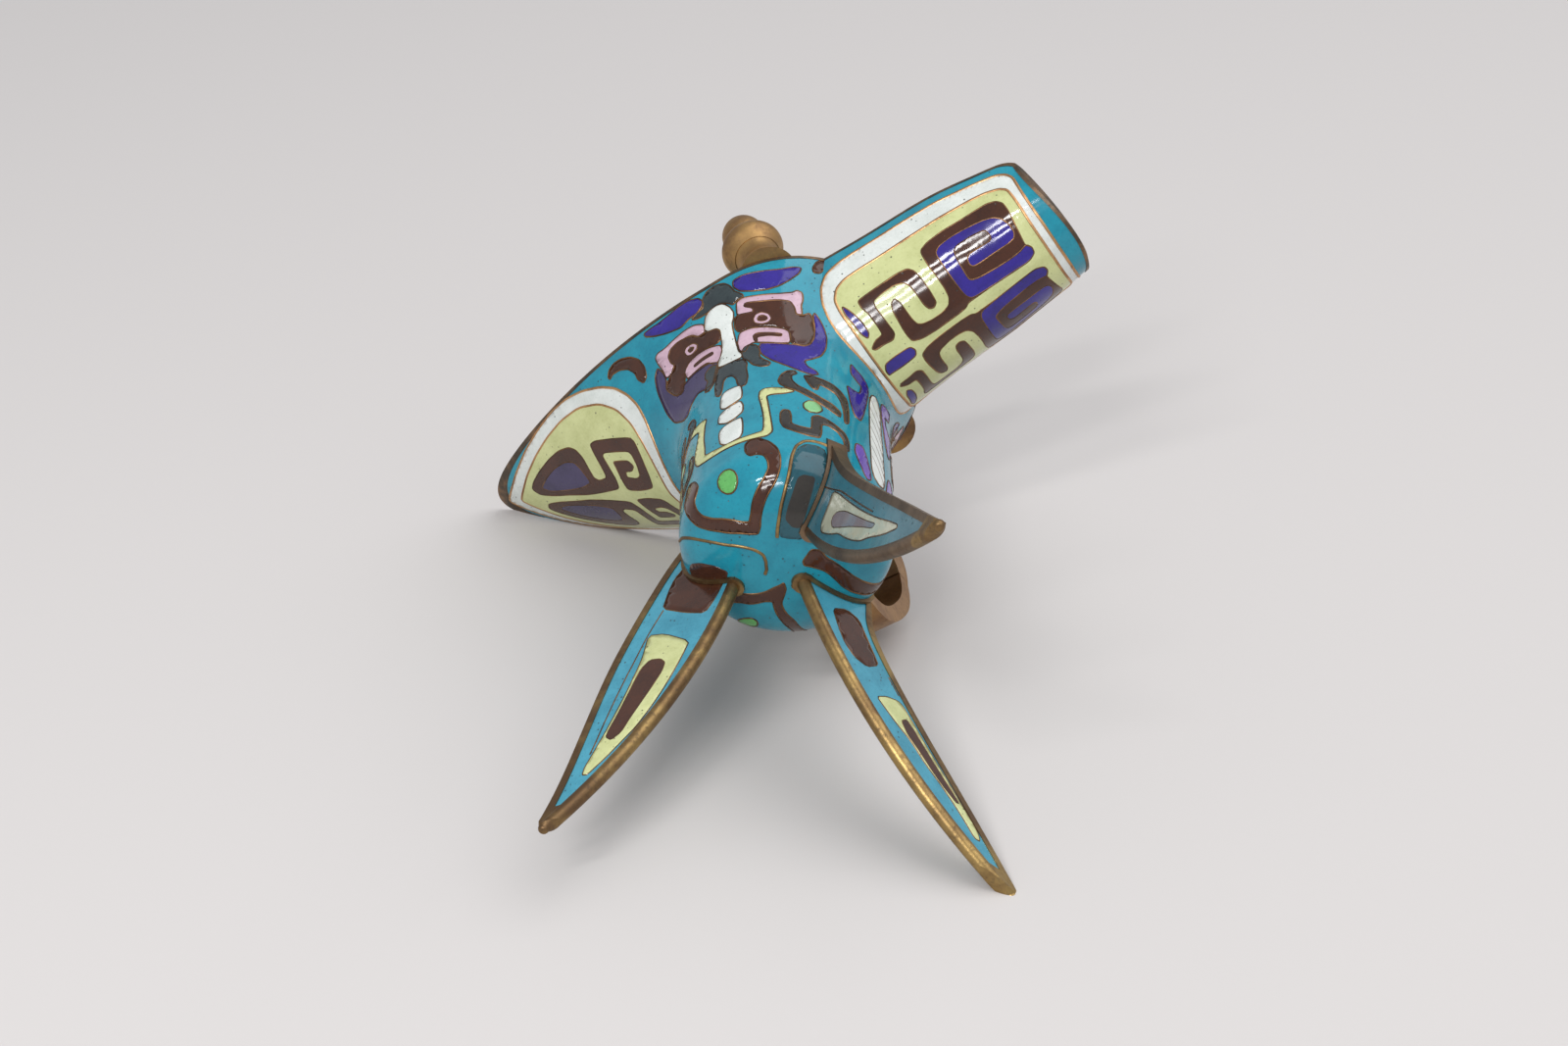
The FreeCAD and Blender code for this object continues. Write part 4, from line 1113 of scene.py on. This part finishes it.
# the deep field is painted shade round the root of the leg under the spout; the block in it is part of the
# pattern
spout_flare = [("deep", soften(root_painted_shade_field)), ("umber", soften(root_block))]
lay_cells("spout_leg_flare", on_cup, spout_flare, CUP_UNIT)
lay_cells("tail_leg_flare", on_cup, [("brown", soften(root_patch, 1))], CUP_UNIT)
for leg, line, width, proud in (("spout_leg", spout_loop, 0.9, 0.3), ("tail_leg", tail_loop, 0.8, 0.28)):
    lay_wires(leg + "_flare_wire", on_cup, [], CUP_UNIT, width, proud, finish=GILT_LEG,
              lines=[soften(line, closed=False)])

# %% Crescents on the shoulders of the tail
crescent = [
    (-30.6, -23.3), (-29.8, -24.2), (-28.2, -24.9), (-26, -25.3), (-23.3, -25.3), (-21.3, -24.7),
    (-20.5, -23.6), (-20.8, -22.3), (-22, -21.6), (-23.2, -22.2), (-23.4, -23.2), (-24.8, -23.9),
    (-27.1, -24), (-29.2, -23.6), (-30.2, -23)]
for side, word in ((1, "near"), (-1, "far")):
    outline = soften([(u, side * v) for u, v in crescent])
    lay_fields("tail_crescent_" + word, "tail_crescent_wires_" + word, on_tail, [("brown", outline)])

# %% [markdown]
# ## The legs
# Both faces of a leg have a long pale arrow that runs to the toe, with a darker bar inside it, and two of
# the legs have a dark block near the root. Each leg has its own drawing, which is laid on both faces. A
# face is flat, so a flat sheet would lie on it without a map, but shares of the face let a drawing follow
# a blade that bends and narrows.

# %% Leg outlines (share across from the outer edge, share along from the toe)
LEG_CELLS = {
    "tail_leg": [
        ("brown", [
            (0.2, 0.95), (0.5, 0.965), (0.84, 0.95), (0.87, 0.91), (0.86, 0.85), (0.82, 0.79),
            (0.56, 0.78), (0.24, 0.78), (0.2, 0.83), (0.16, 0.89)]),
        ("cream", [
            (0.26, 0.68), (0.46, 0.695), (0.82, 0.685), (0.84, 0.64), (0.86, 0.575), (0.88, 0.515),
            (0.89, 0.445), (0.89, 0.375), (0.85, 0.325), (0.8, 0.265), (0.7, 0.2), (0.56, 0.195),
            (0.48, 0.22), (0.45, 0.28), (0.43, 0.35), (0.41, 0.425), (0.39, 0.495), (0.37, 0.555),
            (0.34, 0.605)]),
        ("brown", [
            (0.46, 0.6), (0.59, 0.61), (0.68, 0.6), (0.71, 0.57), (0.71, 0.52), (0.7, 0.455), (0.7, 0.4),
            (0.72, 0.35), (0.64, 0.32), (0.5, 0.325), (0.47, 0.35), (0.46, 0.4), (0.44, 0.455),
            (0.42, 0.515), (0.41, 0.565)]),
    ],
    "spout_leg": [
        # the pale arrow of this leg is cream painted darker: painted shade
        ("stone", [
            (0.34, 0.81), (0.3, 0.735), (0.32, 0.645), (0.35, 0.53), (0.38, 0.405), (0.4, 0.31),
            (0.44, 0.25), (0.53, 0.245), (0.64, 0.315), (0.7, 0.415), (0.76, 0.46), (0.77, 0.515),
            (0.76, 0.58), (0.74, 0.64), (0.8, 0.7), (0.85, 0.775), (0.74, 0.8), (0.56, 0.8)]),
        ("ash", [
            (0.58, 0.73), (0.5, 0.71), (0.44, 0.65), (0.44, 0.555), (0.46, 0.465), (0.47, 0.4),
            (0.55, 0.41), (0.56, 0.485), (0.6, 0.57), (0.66, 0.64), (0.71, 0.7), (0.66, 0.725)]),
    ],
    "handle_leg": [
        ("brown", [
            (0.7, 0.89), (0.42, 0.91), (0.24, 0.89), (0.22, 0.83), (0.2, 0.775), (0.24, 0.735),
            (0.53, 0.715), (0.71, 0.735), (0.77, 0.775), (0.75, 0.825)]),
        ("cream", [
            (0.7, 0.615), (0.45, 0.625), (0.22, 0.62), (0.17, 0.605), (0.16, 0.53), (0.16, 0.455),
            (0.16, 0.375), (0.17, 0.29), (0.17, 0.235), (0.22, 0.2), (0.36, 0.18), (0.5, 0.19),
            (0.44, 0.24), (0.42, 0.29), (0.44, 0.355), (0.5, 0.415), (0.5, 0.49), (0.6, 0.535),
            (0.65, 0.575)]),
        ("brown", [
            (0.44, 0.55), (0.27, 0.56), (0.24, 0.52), (0.24, 0.465), (0.24, 0.405), (0.23, 0.36),
            (0.22, 0.31), (0.24, 0.295), (0.33, 0.3), (0.4, 0.345), (0.44, 0.4), (0.45, 0.46),
            (0.49, 0.505)]),
    ],
}
LEG_LINES = {
    "tail_leg": [
        (0.26, 0.775), (0.25, 0.71), (0.25, 0.645), (0.27, 0.55), (0.28, 0.46), (0.32, 0.355),
        (0.4, 0.26)],
    "spout_leg": [(0.4, 0.9), (0.33, 0.82), (0.25, 0.735), (0.26, 0.655), (0.28, 0.555), (0.31, 0.45)],
    "handle_leg": [(0.14, 0.7), (0.13, 0.64)],
}
print("fields on one face of each leg:", {leg: len(cells) for leg, cells in LEG_CELLS.items()})

# %% Leg cells and wires
LEG_UNIT = (11.0, LEG_HEIGHT)
LEG_STEP, LEG_LIFT = 1.4, 0.06
LEG_WIRE, LEG_PROUD = 0.36, 0.12
for leg, cells in LEG_CELLS.items():
    for face, word in ((1, "left"), (-1, "right")):
        def place(across, along, leg=leg, face=face):
            return on_leg(leg, face, across, along)

        def core(across, along, leg=leg):
            return on_leg(leg, 0, across, along)
        name = leg + "_" + word
        fields = [(finish, soften(outline, 1)) for finish, outline in cells]
        lay_cells(name + "_cells", place, fields, LEG_UNIT, LEG_STEP, LEG_LIFT, core)
        lay_wires(name + "_wires", place, [outline for _, outline in fields], LEG_UNIT, LEG_WIRE, LEG_PROUD,
                  core, lines=[soften(LEG_LINES[leg], closed=False)])

# %% [markdown]
# ## The fluted head of the handle
# The upper end of the handle is cast with ridges that run over its bend. A Boolean modifier could cut the
# grooves between them, but the solids keep their meshes. So rays are sent at the two handle solids from
# outside, one fan for each ridge, and a round bead is laid where they land.

# %% Surface of the handle
corners, sheets = [], []
for name in ("handle_head", "handle_strap"):
    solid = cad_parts[name]
    base = len(corners)
    corners += [(solid.matrix_world @ vertex.co) / MM - BOWL_AXIS for vertex in solid.data.vertices]
    sheets += [[base + k for k in polygon.vertices] for polygon in solid.data.polygons]
handle_tree = BVHTree.FromPolygons(corners, sheets)
print("faces of head and strap:", len(sheets))

# %% Ridges over the handle's head
RIDGE_PLACES = (-5.1, -3.3, -1.45, 0.4, 2.2)
RIDGE_RADIUS, RIDGE_SINK = 0.85, 0.35
FAN_CENTRE, FAN_REACH = (34.0, 94.0), 30.0
FAN_START, FAN_STEP, FAN_COUNT = -14.0, 4.0, 26
ridges = round_curve("handle_ridges", RIDGE_RADIUS, 2)
for x in RIDGE_PLACES:
    landed = []
    for k in range(FAN_COUNT):
        turn = math.radians(FAN_START + FAN_STEP * k)
        out = Vector((0.0, math.cos(turn), math.sin(turn)))
        hit, upright, _, _ = handle_tree.ray_cast(Vector((x, *FAN_CENTRE)) + out * FAN_REACH, -out)
        if hit:
            landed.append(hit - upright * RIDGE_SINK)
    spline = ridges.splines.new("POLY")
    spline.points.add(len(landed) - 1)
    for k, (target, spot) in enumerate(zip(spline.points, landed)):
        target.co = (*to_world(spot), 1.0)
        target.radius = min(1.0, 0.35 + 0.3 * min(k, len(landed) - 1 - k))
ridges.materials.append(GILT_HANDLE)
finish_piece("handle_ridges", ridges)

# %% [markdown]
# ## Floor, lamps and surroundings
# The vessel lies on its side on white paper, so the floor is a plane tilted to the vessel's own upright
# frame. Seen from its back the floor vanishes, so that other views of the vessel stay open. The lamps are
# three long tubes and one broad panel overhead: glass and gilding need something bright and narrow to
# reflect. The surroundings are pale and even, which keeps the colours near the way they are written.

# %% Floor
FLOOR_UP = Vector((0.555, -0.828, 0.083)).normalized()
FLOOR_DROP = -34.3  # from the foot of the bowl's axis, along FLOOR_UP
FLOOR_HALF = 1.6


def make_floor():
    middle = BOWL_AXIS * MM + FLOOR_UP * (FLOOR_DROP * MM)
    side_a = FLOOR_UP.cross(Vector((0, 0, 1))).normalized()
    side_b = FLOOR_UP.cross(side_a).normalized()
    mesh = bpy.data.meshes.new("floor")
    corners = [middle + side_a * (x * FLOOR_HALF) + side_b * (y * FLOOR_HALF)
               for x, y in ((-1, -1), (1, -1), (1, 1), (-1, 1))]
    mesh.from_pydata(corners, [], [(0, 1, 2, 3)])
    if mesh.polygons[0].normal.dot(FLOOR_UP) < 0.0:
        mesh.flip_normals()
    return mesh


floor_material, tree, shader = new_material("floor_paper")
shader.inputs["Base Color"].default_value = paint(198, 194, 192)
shader.inputs["Roughness"].default_value = 0.9
clear = node(tree, "BsdfTransparent")
choose = node(tree, "MixShader")
seen_from = node(tree, "NewGeometry")
tree.links.new(seen_from.outputs["Backfacing"], choose.inputs[0])
tree.links.new(shader.outputs["BSDF"], choose.inputs[1])
tree.links.new(clear.outputs["BSDF"], choose.inputs[2])
tree.links.new(choose.outputs["Shader"], tree.nodes["Material Output"].inputs["Surface"])
floor = bpy.data.objects.new("floor", make_floor())
floor.data.materials.append(floor_material)
bpy.context.scene.collection.objects.link(floor)
print("floor tilted to", [round(c, 3) for c in FLOOR_UP])

# %% Lamps
LAMP_AIM = BOWL_AXIS + Vector((0, 0, 90))
TUBE_TURN, TUBE_SPREAD = 40.0, 9.0


def lamp(name, towards, distance, width, length, power):
    """An area lamp that faces the vessel, its long side level and along the spout."""
    data = bpy.data.lights.new(name, "AREA")
    data.shape = "RECTANGLE"
    data.size, data.size_y = width, length
    data.energy = power
    made = bpy.data.objects.new(name, data)
    out = Vector(towards).normalized()
    along = (Vector((1, 0, 0)) - out * out.x).normalized()
    turn = Matrix((along.cross(out), along, out)).transposed().to_4x4()
    made.matrix_world = Matrix.Translation(LAMP_AIM * MM + out * distance) @ turn
    bpy.context.scene.collection.objects.link(made)
    print("lamp", name, power, "W")


for k in (-1, 0, 1):
    turn = math.radians(TUBE_TURN - TUBE_SPREAD * k)
    lamp("tube_%d" % (k + 2), (0.17, -math.cos(turn), -math.sin(turn)), distance=1.1, width=0.055,
         length=0.32, power=2.2)
lamp("panel", FLOOR_UP + Vector((0.75, 0.12, 0.15)), distance=1.3, width=1.4, length=1.4, power=11.0)

# %% Surroundings
world = bpy.data.worlds.new("surroundings")
bpy.context.scene.world = world
world.use_nodes = True
tree = world.node_tree
around = tree.nodes["Background"]
around.inputs["Color"].default_value = (0.94, 0.96, 1.0, 1.0)
around.inputs["Strength"].default_value = 0.58
backdrop = node(tree, "Background")
backdrop.inputs["Color"].default_value = paint(222, 217, 213)
ray = node(tree, "LightPath")
shown = math_node(tree, "ADD", ray.outputs["Is Camera Ray"], ray.outputs["Is Transmission Ray"])
choose = node(tree, "MixShader")
tree.links.new(shown, choose.inputs[0])
tree.links.new(around.outputs["Background"], choose.inputs[1])
tree.links.new(backdrop.outputs["Background"], choose.inputs[2])
tree.links.new(choose.outputs["Shader"], tree.nodes["World Output"].inputs["Surface"])
bpy.context.scene.view_settings.view_transform = "Standard"
print("lamps and surroundings are set")
